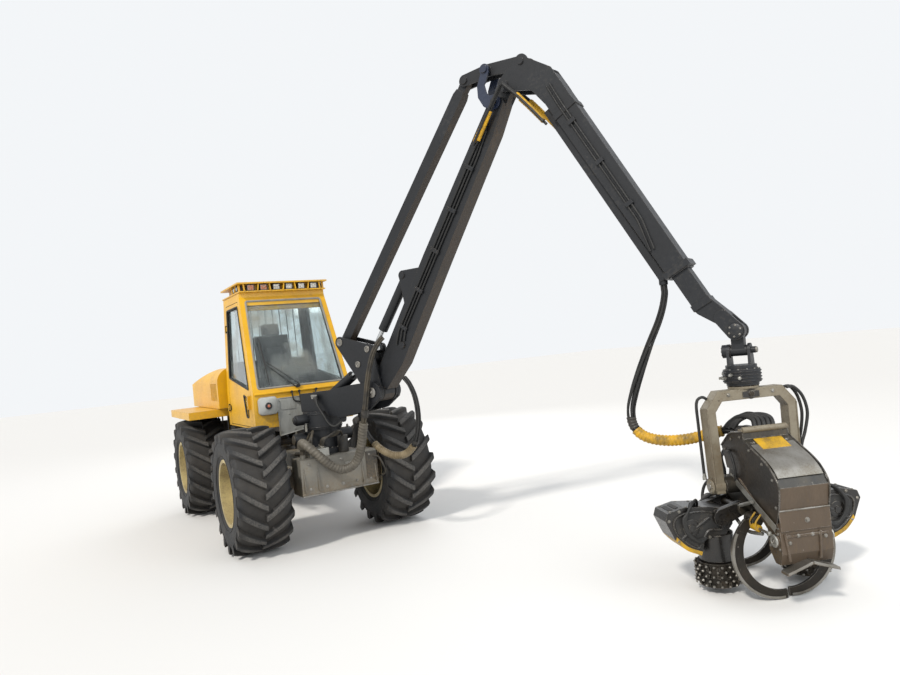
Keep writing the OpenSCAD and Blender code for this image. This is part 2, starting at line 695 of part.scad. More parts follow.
module hood_shell() difference() {
    hood_solid(0);
    hood_solid(-hood_t);
    for (i = [0 : 6]) slab(-hood_half - 20, hood_half + 20)
        translate([hood_front - 120 - i * 58, deck_z + 110]) square([34, 230]);
    for (i = [0 : 4]) depth(hood_rear - 20, hood_rear + hood_t + 20)
        translate([-400, deck_z + 60 + i * 50]) square([800, 26]);
}
// Fenders: deck plates over the rear wheels, with a black flap before each, and the deck under the hood
deck_front = cab_rear - 8;
engine_half = 260;
engine_x = [rear_x - 560, rear_x + 560];
module rear_fenders() {
    x0 = rear_x - 660;
    x1 = hood_front - 60;
    inner = beam_out + 60;
    color("#e9a412") mirrored_y() difference() {
        box(x0, x1, inner, fender_half, deck_z - 100, deck_z);
        box(x0 + 24, x1 - 24, inner - 24, fender_half - 24, deck_z - 101, deck_z - 20);
    }
    color("#e9a412") difference() {
        box(x0, deck_front, -inner, inner, deck_z - 20, deck_z);
        box(engine_x[0] - 10, engine_x[1] + 10, -engine_half - 10, engine_half + 10, deck_z - 30,
            deck_z + 10);
    }
    color("#e9a412") mirrored_y() box(x1 - 1, deck_front, inner - 1, exhaust_at.y + 60, deck_z - 20,
        deck_z);
    color("#26272a") mirrored_y() for (x = [x0 + 80, x1 - 120])
        box(x, x + 50, engine_half + 8, beam_out, beam_top, deck_z - 19);
}
module fuel_tank() color("#2b2c2e") {
    x0 = rear_x + tyre_r + 40;
    for (s = [-1, 1]) box(x0, x0 + 300, s > 0 ? beam_out : -540, s > 0 ? 540 : -beam_out, beam_low + 10,
        cab_floor - 40);
    for (i = [0, 1]) box(x0 + 20, x0 + 280, -640, -540, beam_low + 60 + i * 200, beam_low + 80 + i * 200);
}
exhaust_at = [cab_rear - 42, cab_half - 80];
module exhaust() color("#3b3a39") translate([exhaust_at.x, exhaust_at.y, deck_z]) {
    cylinder(r = 28, h = 1180);
    translate([0, 0, 360]) cylinder(r = 32, h = 480);
}

// Mast: two cheeks from the slew ring to the main pin, with a web under the lift cylinder
mast_outline = [[-150, drum_top], [-120, lift_v + 60], [lift_u + 150, lift_v + 80],
    [main_u - 330, main_v + 90],
    [main_u - 60, main_v + 108], [main_u + 90, main_v + 60], [main_u + 90, main_v - 70],
        [main_u - 80, main_v - 182],
    [main_u - 480, drum_top - 76], [drum_r + 40, drum_top - 76 + 30], [drum_r + 10, drum_top]];
module mast() {
    color("#1d2026") on_crane() {
        difference() {
            union() {
                both_sides(cheek_in, cheek_out) polygon(mast_outline);
                cross_both(main_pin, 105, cheek_in, cheek_out + 8);
                slab(-cheek_in - 1, cheek_in + 1) polygon([[-150, drum_top], [-150, drum_top + 40],
                    [260, drum_top + 40],
                    [440, drum_top - 30], [main_u - 250, drum_top - 20], [main_u - 200, main_v - 200],
                        [main_u - 480, drum_top - 76],
                    [drum_r + 40, drum_top - 46], [drum_r + 10, drum_top]]);
                cross_both(lift_base, 42, 40 + eye_gap, cheek_in + 1);
                translate([0, 0, drum_top]) cylinder(r = 150, h = stub_h + 20);
                translate([boom_gland.x, 0, boom_gland.y]) cylinder(r = gland_r, h = 60);
                mirrored_y() box(-150, -110, cheek_in - 90, cheek_out, drum_top, lift_v + 60);
            }
            translate([0, 0, drum_top - 1]) cylinder(r = stub_r + fit, h = stub_h + 1 + seam);
        }
        cross(main_pin, main_pin_r, -cheek_out - 14, cheek_out + 14);
        cross(lift_base, pin_r, -cheek_in - 1, cheek_in + 1);
        both_sides(cheek_in, cheek_in + 20) link([460, 1327], 34, [460, 1380], 44);
    }
}

// Crank: two plates on the main pin that carry the tie bar and both cylinder rods
// Web between the plates, along the line from the tie bar's pin to the reach rod's pin
crank_web = [[150, -34], [280, -34], [280, -14], [150, -14]];
module crank() color("#1d2026") on_crane() {
    cross(tie_low, pin_r, -crank_in - 1, crank_in + 1);
    crank_plates();
}
module crank_plates() difference() {
    union() {
        both_sides(crank_in, crank_out) {
            link(main_pin, 104, tie_low, 62);
            link(main_pin, 96, reach_eye, 58);
            polygon([main_pin, tie_low + at(58, 76), reach_eye + at(54, 76)]);
        }
        cross_both(main_pin, 90, boom_half + eye_gap, crank_in + 1);
        cross_both(tie_low, 50, 50 + eye_gap, crank_in + 1);
        cross_both(lift_eye, 46, 40 + eye_gap, crank_in + 1);
        cross_both(reach_eye, 44, 36 + eye_gap, crank_in + 1);
        for (p = [lift_eye, reach_eye]) cross_both(p, 34, crank_out - 1, crank_out + side_gap - eye_gap);
        slab(-crank_in - 1, crank_in + 1) polygon([for (q = crank_web)
            tie_low + along(angle_of(reach_eye - tie_low), q.x, q.y)]);
    }
    cross(main_pin, main_pin_r + fit, -300, 300);
}
module tie_bar() color("#1d2026") on_crane() {
    span = norm(tie_top - tie_low);
    at_pin(tie_low, angle_of(tie_top - tie_low)) difference() {
        union() {
            cross([0, 0], 64, -50, 50);
            slab(-50, 50) polygon([[20, -tie_depth / 2], [span - 150, -tie_depth / 2], [span - 95, -40],
                [span - 95, 40], [span - 150, tie_depth / 2], [20, tie_depth / 2]]);
            slab(-tongue_half, tongue_half) link([span - 110, 0], 40, [span, 0], 48);
        }
        cross([0, 0], pin_r + fit, -60, 60);
    }
}

// Hose glands: where each bundle leaves the front frame, the mast, the boom, the stick and the head
gland_r = 34;
front_gland = [430, -350, 990];
boom_gland = [600, 1335];
side_gland = [590, -60];
side_gland_y = 96;
under_gland = 360;
stick_gland = stick_pin + [1183, -1953];
head_gland = [tip_u - 86.7, 1134];
// Boom: box that tapers to a tongue, with bosses for its pins and the bracket on its back
module boom() color("#1d2026") on_crane() at_pin(main_pin, boom_lean) {
    d = boom_depth / 2;
    k = [bracket_at, bracket_up];
    e = [boom_len - 178, 27];
    difference() {
        union() {
            slab(-boom_half, boom_half) polygon([[90, -95], [420, -d - 30], [1500, -d],
                [boom_len - 420, -d + 26], [boom_len - 150, -62],
                [boom_len - 110, -30], [boom_len - 110, 40], [boom_len - 150, 88], [boom_len - 460, 96],
                    [1500, d], [420, d - 10], [90, 90]]);
            cross([0, 0], 100, -boom_half, boom_half);
            slab(-tongue_half, tongue_half) link([boom_len - 160, 0], 66, [boom_len, 0], 66);
            cross(e, 58, -rocker_in + eye_gap, rocker_in - eye_gap);
            both_sides(bracket_in, bracket_out) polygon([[bracket_at - 260, d - 30], [k.x - 50, k.y + 18],
                [k.x, k.y + 50], [k.x + 46, k.y + 20], [bracket_at + 180, d - 30]]);
            both_sides(bracket_in, bracket_out) translate(k) circle(50);
            cross(side_gland, gland_r, -side_gland_y, -boom_half + 1);
            translate([under_gland, 0, -d - 10]) cylinder(r = gland_r, h = 60);
        }
        cross([0, 0], main_pin_r + fit, -200, 200);
        cross([boom_len, 0], pin_r + fit, -100, 100);
    }
    cross(e, pin_r, -rocker_out - 12, rocker_out + 12);
    cross(k, pin_r, -bracket_out - 12, bracket_out + 12);
}

// Rocker: a hook-shaped plate on each side, from the boom to the coupler
module rocker() color("#232a3b") on_crane() at_pin(rocker_pin, angle_of(rocker_top - rocker_pin)) {
    difference() {
        both_sides(rocker_in, rocker_out) union() {
            link([0, 0], 66, [30, 60], 50);
            polygon([[-20, -20], [30, 112], [110, 134], [210, 112], [rocker_len - 20, 44],
                [rocker_len + 10, -8], [rocker_len - 40, -40],
                [rocker_len - 120, 22], [190, 40], [110, 40], [60, 10], [40, -40]]);
            translate([rocker_len, 0]) circle(48);
        }
        cross([0, 0], pin_r + fit, -200, 200);
    }
    cross_both([rocker_len, 0], 34, rocker_out - 1, rocker_out + 14);
}
// Coupler: two plates from the tie bar over the rocker to the stick
module coupler() color("#1d2026") on_crane() difference() {
    union() {
        both_sides(coupler_in, coupler_out) {
            link(tie_top, 54, rocker_top, 56);
            link(rocker_top, 56, stick_top, 58);
        }
        cross_both(rocker_top, 46, coupler_out - 1, rocker_in - eye_gap);
        slab(-coupler_in - 1, coupler_in + 1) translate(rocker_top) rotate(angle_of(tie_top - rocker_top))
            translate([40, -30]) square([90, 46]);
        cross_both(tie_top, 34, coupler_out - 1, coupler_out + 12);
        cross_both(tie_top, 40, tongue_half + eye_gap, coupler_in + 1);
    }
    cross(stick_top, pin_r + fit, -100, 100);
}

// Stick: head plates on the boom's tongue, then a box
module stick() color("#1d2026") on_crane() at_pin(stick_pin, -stick_lean) {
    c = along(40 + stick_lean, stick_arm, 0);
    h = stick_depth / 2;
    o = stick_out;
    at_x = (stick_gland - stick_pin) * at(1, -stick_lean);
    at_y = (stick_gland - stick_pin) * at(1, 90 - stick_lean);
    difference() {
        union() {
            both_sides(stick_in, stick_plate_out) {
                link([0, 0], 74, c, 64);
                polygon([at(60, 200), c + at(50, 170), c + at(58, 80), [stick_start - 60, o + h],
                    [stick_start + 160, o + h], [stick_start + 160, o - h], [stick_start - 30, o - h - 30],
                        at(70, 290)]);
            }
            slab(-boom_half, boom_half) polygon([[stick_start, o + h],
                [stick_start + stick_box, o + h - 20],
                [stick_start + stick_box, o - h + 20], [stick_start, o - h]]);
            for (x = [stick_start + 300, stick_start + stick_box - 60])
                slab(-boom_half - 8, boom_half + 8) translate([x, o - h - 4]) square([50, 2 * h + 8]);
            slab(-40, 40) translate([stick_start + 200, o - h - 58]) square([stick_box - 230, 60]);
            translate([at_x, 0, at_y]) rotate([0, -stick_lean, 0]) cylinder(r = gland_r, h = 44);
        }
        slab(-60 - fit, 60 + fit) translate([stick_start + 420, o - 70 - fit])
            square([stick_box, 140 + 2 * fit]);
    }
    cross([0, 0], pin_r, -stick_plate_out - 12, stick_plate_out + 12);
    cross(c, pin_r, -stick_plate_out - 12, stick_plate_out + 12);
}
ext_in = 1480;
link_half = 44;
module extension() color("#1d2026") on_crane() at_pin(stick_pin, -stick_lean) {
    x1 = stick_start + stick_box;
    tip = [x1 + ext_show, stick_out + tip_out];
    slab(-60, 60) polygon([[x1 - ext_in, stick_out - 70], [x1 + ext_show - 300, stick_out - 70],
        [x1 + ext_show - 300, stick_out + 70], [x1 - ext_in, stick_out + 70]]);
    slab(-72, 72) translate([x1 + ext_show - 330, stick_out - 78]) square([50, 156]);
    root = [tip.x - 132, tip.y - 24];
    slab(-60, 60) link([x1 + ext_show - 280, stick_out + 6], 76, root, 60);
    both_sides(link_half + eye_gap, 74) link(root, 60, tip, 68);
    cross(tip, pin_r + 4, -80, 80);
}

// Lift and reach cylinders: the barrel turns on its pin, the rod's eye stands between its lugs
barrel_from = 52;
module barrel(base, eye, r, rod_r, half, length) at_pin(base, angle_of(eye - base)) difference() {
    union() {
        cross([0, 0], 44, -half, half);
        slab(-half + 2, half - 2) polygon([[0, -34], [barrel_from + 6, -34], [barrel_from + 6, 34],
            [0, 34]]);
        translate([barrel_from, 0, 0]) rotate([0, 90, 0]) cylinder(r = r, h = length - barrel_from);
    }
    cross([0, 0], pin_r + fit, -half - 1, half + 1);
    translate([60, 0, 0]) rotate([0, 90, 0]) cylinder(r = rod_r + fit, h = length);
}
module rod(base, eye, rod_r, half, length) at_pin(eye, angle_of(base - eye)) {
    cross([0, 0], 42, -half, half);
    translate([20, 0, 0]) rotate([0, 90, 0]) cylinder(r = rod_r, h = length - 20);
}
lift_barrel_len = 430;
reach_barrel_len = 640;
module lift_barrel() color("#17181a") on_crane() barrel(lift_base, lift_eye, lift_barrel_r, lift_rod_r, 40,
    lift_barrel_len);
module lift_rod() color("#b9bcbe") on_crane() rod(lift_base, lift_eye, lift_rod_r, 40, 410);
module reach_barrel() color("#17181a") on_crane() barrel(bracket_pin, reach_eye, reach_barrel_r,
    reach_rod_r, bracket_in - eye_gap, reach_barrel_len);
module reach_rod() color("#b9bcbe") on_crane() rod(bracket_pin, reach_eye, reach_rod_r, 36, 690);

// Tip link: swings on the stick's tip, with a brake drum, and carries the rotator on a crossed pin
rotator_low = arch_top + 22;
link_drop = 150;
module tip_link() on_crane() translate([tip_u, 0, tip_pin.y]) {
    color("#202123") difference() {
        union() {
            cross([0, 0], 62, -link_half, link_half);
            slab(-38, 38) polygon([[-46, 0], [46, 0], [44, -link_drop], [-44, -link_drop]]);
            translate([-60, 0, -link_drop]) rotate([0, 90, 0]) cylinder(r = 40, h = 120);
        }
        cross([0, 0], pin_r + 4 + fit, -100, 100);
    }
    color("#2a2b2e") translate([-118, 0, -link_drop]) rotate([0, 90, 0]) cylinder(r = 50, h = 60);
    color("#8a8c8e") translate([-60, 0, -link_drop]) rotate([0, 90, 0]) cylinder(r = 24, h = 176);
}
module rotator() on_crane() translate([tip_u, 0, 0]) color("#202123") {
    c = tip_pin.y - link_drop;
    difference() {
        union() {
            for (x = [64, -84]) translate([x, 0, 0]) depth(0, 20) {
                translate([0, c]) circle(52);
                polygon([[-52, c], [52, c], [70, rotator_low + 130], [-70, rotator_low + 130]]);
            }
            translate([0, 0, rotator_low + 120]) cylinder(r = rotator_r - 20, h = 30);
            translate([0, 0, rotator_low + 20]) cylinder(r = rotator_r, h = 100);
            translate([0, 0, rotator_low]) cylinder(r = rotator_r - 16, h = 20);
        }
        translate([-100, 0, c]) rotate([0, 90, 0]) cylinder(r = 24 + fit, h = 240);
        translate([-90, 0, c]) rotate([0, 90, 0]) cylinder(r = 51, h = 28);
        translate([0, 0, rotator_low - 1]) cylinder(r = 60 + fit, h = 90);
    }
}

// Hanger arch: a portal with a rotor on its top and the tilt pins in its feet
foot_in = arch_half - 14 - leg_w - 4;
tilt_pin_r = 32;
foot_r = 58;
foot_low = tilt_z - 50;
module head_hanger() on_head() color("#8d8a80") {
    w = arch_half;
    t = arch_top;
    translate([tilt_x, 0, 0]) depth(-52, 52)
        polygon([[-w + 14, foot_low], [-w, t - 120], [-w + 96, t], [w - 96, t], [w, t - 120],
            [w - 14, foot_low],
            [w - 14 - leg_w, foot_low], [w - leg_w, t - 150], [w - 96 - leg_w * 0.4, t - 76],
            [-w + 96 + leg_w * 0.4, t - 76], [-w + leg_w, t - 150], [-w + 14 + leg_w, foot_low]]);
    mirrored_y() translate([tilt_x, foot_in, tilt_z]) rotate([-90, 0, 0])
        cylinder(r = foot_r, h = leg_w + 12);
    mirrored_y() translate([tilt_x, cover_half + 24, tilt_z]) rotate([-90, 0, 0])
        cylinder(r = tilt_pin_r, h = w - cover_half - 40);
    translate([0, 0, t - 1]) cylinder(r = rotator_r - 20, h = 17);
    translate([0, 0, t]) cylinder(r = 60, h = 22 + 80);
}

// Head frame: spine over the stem, cheeks with the tilt bosses, arm and knife pins, fixed top knife
arm_y = 190;
arm_z = 606;
knife_z = 566;
hub_r = 48;
arm_half = 150;
spine_rear = -430;
saw_back = 452;
spine_half = 109;
head_cheek_out = 136;
head_pin_r = 24;
// Stations of the knife pins: end beside the lug, direction to the free end
knife_pins = [[-270, -1], [240, 1]];
knife_hub = 66;
lug_t = 30;
cheek_side = [[spine_rear + 60, 540], [spine_rear + 60, 640], [-130, 700], [-60, 910], [60, 910],
    [130, 866], [300, 730],
    [saw_back - seam, 655], [saw_back - seam, 560], [300, 540]];
// Spacers that carry the cover's side plates
cover_bolts = [[0, 890], [150, 812], [410, 638]];
module head_lug(x0, x1, z) depth(x0, x1) mirrored_x_view()
    link([head_cheek_out - 10, z], 44, [arm_y, z], 40);
// Both sides of a front view
module mirrored_x_view() {
    children();
    mirror([1, 0]) children();
}
module head_frame() on_head() color("#3c3a36") {
    difference() {
        union() {
            box(spine_rear, saw_back - seam, -spine_half - 1, spine_half + 1, 560, 660);
            both_sides(spine_half, head_cheek_out) polygon(cheek_side);
            mirrored_y() translate([tilt_x, head_cheek_out - 1, tilt_z]) rotate([-90, 0, 0])
                cylinder(r = 62, h = foot_in - side_gap - head_cheek_out + 1);
            box(-90, tilt_x + 100, -spine_half - 1, spine_half + 1, 640, 700);
            box(spine_rear - 40, spine_rear, -120, 120, 430, 700);
            for (q = cover_bolts) cross_both(q, 16, head_cheek_out - 1, cover_half - cover_t - seam);
        }
        mirrored_y() translate([tilt_x, cover_half + 20, tilt_z]) rotate([-90, 0, 0])
            cylinder(r = tilt_pin_r + fit, h = 200);
    }
    head_lug(-arm_half - side_gap - lug_t, -arm_half - side_gap, arm_z);
    head_lug(arm_half + side_gap, arm_half + side_gap + lug_t, arm_z);
    mirrored_y() translate([-arm_half - side_gap - lug_t, arm_y, arm_z]) rotate([0, 90, 0])
        cylinder(r = head_pin_r, h = 2 * (arm_half + side_gap + lug_t));
    for (k = knife_pins) {
        x = k[1] > 0 ? k[0] : k[0] - lug_t;
        head_lug(x, x + lug_t, knife_z);
        far = k[0] + k[1] * (lug_t + side_gap + knife_hub + side_gap);
        mirrored_y() translate([min(k[0], far), arm_y, knife_z]) rotate([0, 90, 0])
            cylinder(r = head_pin_r, h = abs(far - k[0]));
        mirrored_y() translate([k[1] > 0 ? far : far - 12, arm_y, knife_z]) rotate([0, 90, 0])
            cylinder(r = 34, h = 12);
    }
}
// Cover: side plates with a bent sheet over the saw motor, open below, and the saw box under it
cover_t = 14;
cover_side = [[-90, 1030], [54, 1140], [230, 1165], [236, 1110], [330, 1064], [490, 990], [576, 926],
    [630, 836], [604, 690],
    [566, 596], [500, 562], [saw_back, 575], [230, 712], [40, 868], [-40, 868]];
cover_room = [[-74, 1024], [58, 1125], [216, 1149], [222, 1100], [322, 1050], [482, 978], [564, 917],
    [614, 834], [590, 694],
    [556, 608], [520, 500], [400, 500], [200, 690], [30, 850], [-60, 850]];
// Saw box: side outline, and the same drawn in by its plates
box_side = [[saw_back, 400], [saw_back, 575], [500, 562], [566, 596], [596, 560], [600, 400], [570, 322],
    [510, 322]];
box_room = [[saw_back + cover_t, 300], [saw_back + cover_t, 640], [560, 640], [582, 556], [586, 402],
    [560, 300]];
bar_x = 490;
bar_t = 14;
bar_y = -92;
bar_z = 345;
bar_r = 44;
slot_top = bar_z + sqrt(pow(saw_reach + 40, 2) - pow(cover_half - bar_y - cover_t, 2)) + 12;
module head_cover() {
    color("#2e2f31") on_head() difference() {
        union() {
            slab(-cover_half, cover_half) polygon(cover_side);
            slab(-cover_half - 8, cover_half + 8) polygon(box_side);
            both_sides(cover_half - 1, cover_half + 12) link([126, 806], 16, [545, 500], 24);
            both_sides(cover_half - 1, cover_half + 22) translate([545, 480]) circle(42);
            mirrored_y() box(196, 226, 40, cover_half, 1150, 1182);
            guard();
        }
        slab(-cover_half + cover_t, cover_half - cover_t) union() {
            polygon(cover_room);
            polygon(box_room);
        }
        translate([bar_x - side_gap, 0, 0]) box(0, bar_t + 2 * side_gap, 0, cover_half + 40, 200, slot_top);
    }
    color("#77736a") on_head() {
        translate([saw_back, 0, 0]) depth(0, cover_t)
            polygon([[-cover_half, 575], [-cover_half, 420], [bar_y - 50, bar_z - 30],
                [bar_y + 50, bar_z - 30],
                [cover_half, 420], [cover_half, 575]]);
        translate([saw_back + 1, bar_y, bar_z]) rotate([0, 90, 0])
            cylinder(r = 20, h = bar_x + bar_t + 8 - saw_back);
        translate([saw_back + 1, bar_y, bar_z]) rotate([0, 90, 0])
            cylinder(r = 34, h = bar_x - eye_gap - saw_back - 1);
    }
    color("#2e2f31") head_port();
}
// Folded guard plate before the saw box
module guard() depth(564, 644) polygon([[-cover_half - 8, 272], [0, 330], [cover_half + 8, 272],
    [cover_half + 8, 288], [0, 346],
    [-cover_half - 8, 288]]);
// Port on the cover that takes the hoses
module head_port() on_crane() {
    translate([head_gland.x, 0, head_gland.y]) rotate([0, 90, 0]) cylinder(r = gland_r, h = 70);
    translate([head_gland.x + 42, 0, head_gland.y - 76]) cylinder(r = 22, h = 80);
}
// Saw bar: stands upright in its box and swings out across the stem on its own pin
module saw_bar() on_head() color("#9a9c9c") difference() {
    translate([bar_x, 0, 0]) depth(0, bar_t) link([bar_y, bar_z], bar_r, [bar_y, bar_z + saw_reach], 38);
    translate([bar_x - 1, bar_y, bar_z]) rotate([0, 90, 0]) cylinder(r = 20 + fit, h = bar_t + 2);
}

// Feed arms: from the spine's side down round the stem, with the roller motor in a bowl
roller_y = 340;
roller_z = 50;
motor_r = 125;
arm_side = [[arm_y + 70, arm_z - 6], [420, 636], [600, 652], [728, 622], [748, 566], [690, 430],
    [600, 344], [500, 300], [470, 410],
    [330, 400], [arm_y + 60, arm_z - 110]];
module feed_arm(side) on_head() mirror([0, side < 0 ? 1 : 0, 0]) color("#1f2022") {
    difference() {
        union() {
            for (x = [-arm_half, arm_half - 50]) depth(x, x + 50)
                link([arm_y, arm_z], hub_r, [arm_y + 150, arm_z - 50], 60);
            depth(-112, 112) polygon(arm_side);
            translate([0, roller_y, roller_z + roller_h + side_gap + 4]) cylinder(r = motor_r, h = 190);
        }
        depth(-80, 80) polygon([[470, 560], [610, 590], [690, 570], [650, 450], [580, 390], [500, 380]]);
        translate([-arm_half - 1, arm_y, arm_z]) rotate([0, 90, 0])
            cylinder(r = head_pin_r + fit, h = 2 * arm_half + 2);
    }
    translate([0, roller_y, roller_z]) cylinder(r = 40, h = roller_h + 20);
}
module feed_roller(side) on_head() mirror([0, side < 0 ? 1 : 0, 0]) color("#4a4843")
    translate([0, roller_y, roller_z]) difference() {
    union() {
        cylinder(r = roller_r - 22, h = roller_h);
        for (i = [0 : spike_count - 1]) rotate([0, 0, i * 360 / spike_count])
            for (z = [18, roller_h / 2 - 14, roller_h - 46]) translate([roller_r - 24, -9, z])
                cube([24, 18, 28]);
    }
    translate([0, 0, -1]) cylinder(r = 40 + fit, h = roller_h + 2);
}
// Delimbing knives: curved blades in pairs that pass each other like shears
blade_t = 20;
module knife(side, k) on_head() mirror([0, side < 0 ? 1 : 0, 0]) color("#c9a21b") {
    hub_at = k[1] > 0 ? k[0] + lug_t + side_gap : k[0] - lug_t - side_gap - knife_hub;
    blade_at = hub_at + (side > 0 ? 8 : 8 + blade_t + side_gap);
    difference() {
        union() {
            depth(blade_at, blade_at + blade_t) difference() {
                translate([60, 330]) circle(326);
                translate([30, 338]) circle(274);
                polygon([[-900, -900], [14, -900], [14, 1000], [-900, 1000]]);
                polygon([[-10, knife_z - 30], [arm_y - 40, knife_z + 10], [arm_y, knife_z + 34],
                    [arm_y + 40, knife_z + 10],
                    [1000, 640], [1000, 1300], [-10, 1300]]);
            }
            translate([hub_at, arm_y, knife_z]) rotate([0, 90, 0]) cylinder(r = hub_r, h = knife_hub);
        }
        translate([hub_at - 1, arm_y, knife_z]) rotate([0, 90, 0])
            cylinder(r = head_pin_r + fit, h = knife_hub + 2);
    }
}

// Hoses: a tube swept along points, one ring to each point, with its ends closed
function unit(v) = v / norm(v);
function tangent(p, i) = unit(i == 0 ? p[1] - p[0] : i == len(p) - 1 ? p[i] - p[i - 1] : unit(p[i + 1] - p[i]) + unit(p[i] - p[i - 1]));
// Side vector carried from ring to ring so that the tube doesn't twist
function carried(s, t) = unit(s - (s * t) * t);
function side_at(p, i) = i == 0 ? carried([0.31, 0.27, 0.91], tangent(p, 0)) : carried(side_at(p, i - 1),
    tangent(p, i));
function ring(c, t, s, r, n) = [for (k = [0 : n - 1])
    c + r * (s * cos(360 * k / n) + cross(t, s) * sin(360 * k / n))];
// Points halfway along a smooth curve through the given ones
function mids(p) = [for (i = [0 : len(p) - 1]) each i == len(p) - 1 ? [p[i]] : [p[i],
    (9 * (p[i] + p[i + 1]) - (p[max(i - 1, 0)] + p[min(i + 2, len(p) - 1)])) / 16]];
module tube(p, r, n = 8) {
    rings = [for (i = [0 : len(p) - 1]) ring(p[i], tangent(p, i), side_at(p, i), r, n)];
    m = len(p);
    polyhedron([for (g = rings) each g], concat(
        [[for (k = [n - 1 : -1 : 0]) k]],
        [[for (k = [0 : n - 1]) (m - 1) * n + k]],
        [for (i = [0 : m - 2]) for (k = [0 : n - 1]) each [
            [i * n + k, i * n + (k + 1) % n, (i + 1) * n + (k + 1) % n],
            [i * n + k, (i + 1) * n + (k + 1) % n, (i + 1) * n + k]]]));
}
// Front bundle, in the machine's frame: front frame, down before the bumper, up beside the mast to the boom
front_path = [[430, -350, 990.3], [430, -350, 1015], [430, -350, 1040], [452, -362, 1088],
    [505, -372, 1122],
    [570, -366, 1116], [630, -320, 1060], [655, -225, 955], [665, -115, 850], [680, -10, 805],
        [720, 85, 835], [780, 135, 925], [850, 148, 1050],
    [920, 150, 1200], [985, 158, 1360], [1035, 168, 1520], [1075, 182, 1680], [1115, 205, 1840],
        [1155, 240, 1985],
    [1205, 290, 2090], [1240, 330, 2140]];
// Boom bundle, in the crane's frame: mast, down before the bumper, up to the underside of the boom
boom_path = [[600, 0, 1334.7], [600, 0, 1305], [600, 0, 1275], [640, 0, 1170], [730, 0, 1050],
    [860, 0, 960],
    [1010, 0, 915], [1160, 0, 935], [1280, 0, 1030], [1345, 0, 1180], [1365, 0, 1350], [1345, 0, 1510],
        [1290, 0, 1640], [1230, 0, 1712]];
// Stick bundle, in the crane's frame: end of the tray, down in a long bow, across to the head
stick_path = [[3950, 0, 2289.7], [3950, 0, 2255], [3950, 0, 2220], [3925, 0, 2120], [3877, 0, 2000],
    [3790, 0, 1830],
    [3695, 0, 1631], [3615, 0, 1440], [3575, 0, 1300], [3590, 0, 1175], [3672, 0, 1092], [3820, 0, 1058],
    [4000, 0, 1066], [4180, 0, 1106], [4290, 0, 1132], [4330, 0, 1134], [4350, 0, 1134], [4371.7, 0, 1134]];
hose_r = 28;
module hose_front() color("#2c2b2a") tube(mids(front_path), hose_r);
module hose_boom() color("#1b1b1b") on_crane() tube(mids(boom_path), hose_r);
module hose_stick() color("#c79a1c") on_crane() tube(mids(stick_path), hose_r);

module tyre_fl() tyre(0, 1);
module tyre_fr() tyre(0, -1);
module tyre_rl() tyre(rear_x, 1);
module tyre_rr() tyre(rear_x, -1);
module rim_fl() rim(0, 1);
module rim_fr() rim(0, -1);
module rim_rl() rim(rear_x, 1);
module rim_rr() rim(rear_x, -1);

rear_frame();
rear_plate();
rear_axle();
engine_block();
cab_shell();
cab_glass();
cab_roof();
work_lamps();
operator_seat();
rear_fenders();
fuel_tank();
exhaust();
cab_door();
door_glass();
hood();
front_frame();
front_axle();
crane_pedestal();
tyre_fl();
tyre_fr();
tyre_rl();
tyre_rr();
rim_fl();
rim_fr();
rim_rl();
rim_rr();
steer_barrel(1);  // steer_barrel_l
steer_barrel(-1);  // steer_barrel_r
steer_rod(1);  // steer_rod_l
steer_rod(-1);  // steer_rod_r
mast();
crank();
boom();
tie_bar();
stick();
rocker();
coupler();
extension();
lift_barrel();
lift_rod();
reach_barrel();
reach_rod();
tip_link();
rotator();
head_hanger();
head_frame();
head_cover();
saw_bar();
feed_arm(1);  // feed_arm_l
feed_arm(-1);  // feed_arm_r
feed_roller(1);  // feed_roller_l
feed_roller(-1);  // feed_roller_r
knife(1, knife_pins[0]);  // knife_rear_l
knife(-1, knife_pins[0]);  // knife_rear_r
knife(1, knife_pins[1]);  // knife_front_l
knife(-1, knife_pins[1]);  // knife_front_r
hose_front();
hose_boom();
hose_stick();
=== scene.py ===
"""Looks of the forestry harvester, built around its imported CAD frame.

Shapes are written in millimetres in one of several frames (machine, crane, a crane link, head) and become
metres when their piece is made.
"""
from math import atan2, cos, pi, radians, sin

import bpy
from mathutils import Matrix, Vector


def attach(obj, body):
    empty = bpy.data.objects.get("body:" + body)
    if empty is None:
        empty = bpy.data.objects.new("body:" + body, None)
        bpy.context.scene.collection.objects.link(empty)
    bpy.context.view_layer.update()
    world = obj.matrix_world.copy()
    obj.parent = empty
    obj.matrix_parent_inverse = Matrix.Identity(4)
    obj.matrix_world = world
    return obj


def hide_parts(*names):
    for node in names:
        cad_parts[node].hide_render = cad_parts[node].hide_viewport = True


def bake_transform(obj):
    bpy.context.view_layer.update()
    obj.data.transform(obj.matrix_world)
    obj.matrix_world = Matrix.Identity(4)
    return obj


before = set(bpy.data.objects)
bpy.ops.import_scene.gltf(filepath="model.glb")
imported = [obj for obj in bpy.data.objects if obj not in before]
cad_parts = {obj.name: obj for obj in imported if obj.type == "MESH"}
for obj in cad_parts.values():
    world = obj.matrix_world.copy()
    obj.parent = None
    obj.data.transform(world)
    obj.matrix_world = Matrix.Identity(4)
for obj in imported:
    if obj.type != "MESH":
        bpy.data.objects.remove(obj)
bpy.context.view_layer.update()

# ---- Frames of reference, in millimetres ----
SLEW_X = 150
SLEW_AT = 24.5
HEAD_TURN = -49.5
TYRE_R = 665
LUG_FOOT = 598
TRACK = 1650
WHEELBASE = 2760


def vec(*parts):
    return Vector(parts)


def hand(side):
    return "l" if side > 0 else "r"


def show(thing):
    bpy.context.scene.collection.objects.link(thing)


def shift(x, y=0, z=0):
    return Matrix.Translation((x, y, z))


def turn(angle, axis):
    return Matrix.Rotation(radians(angle), 4, axis)


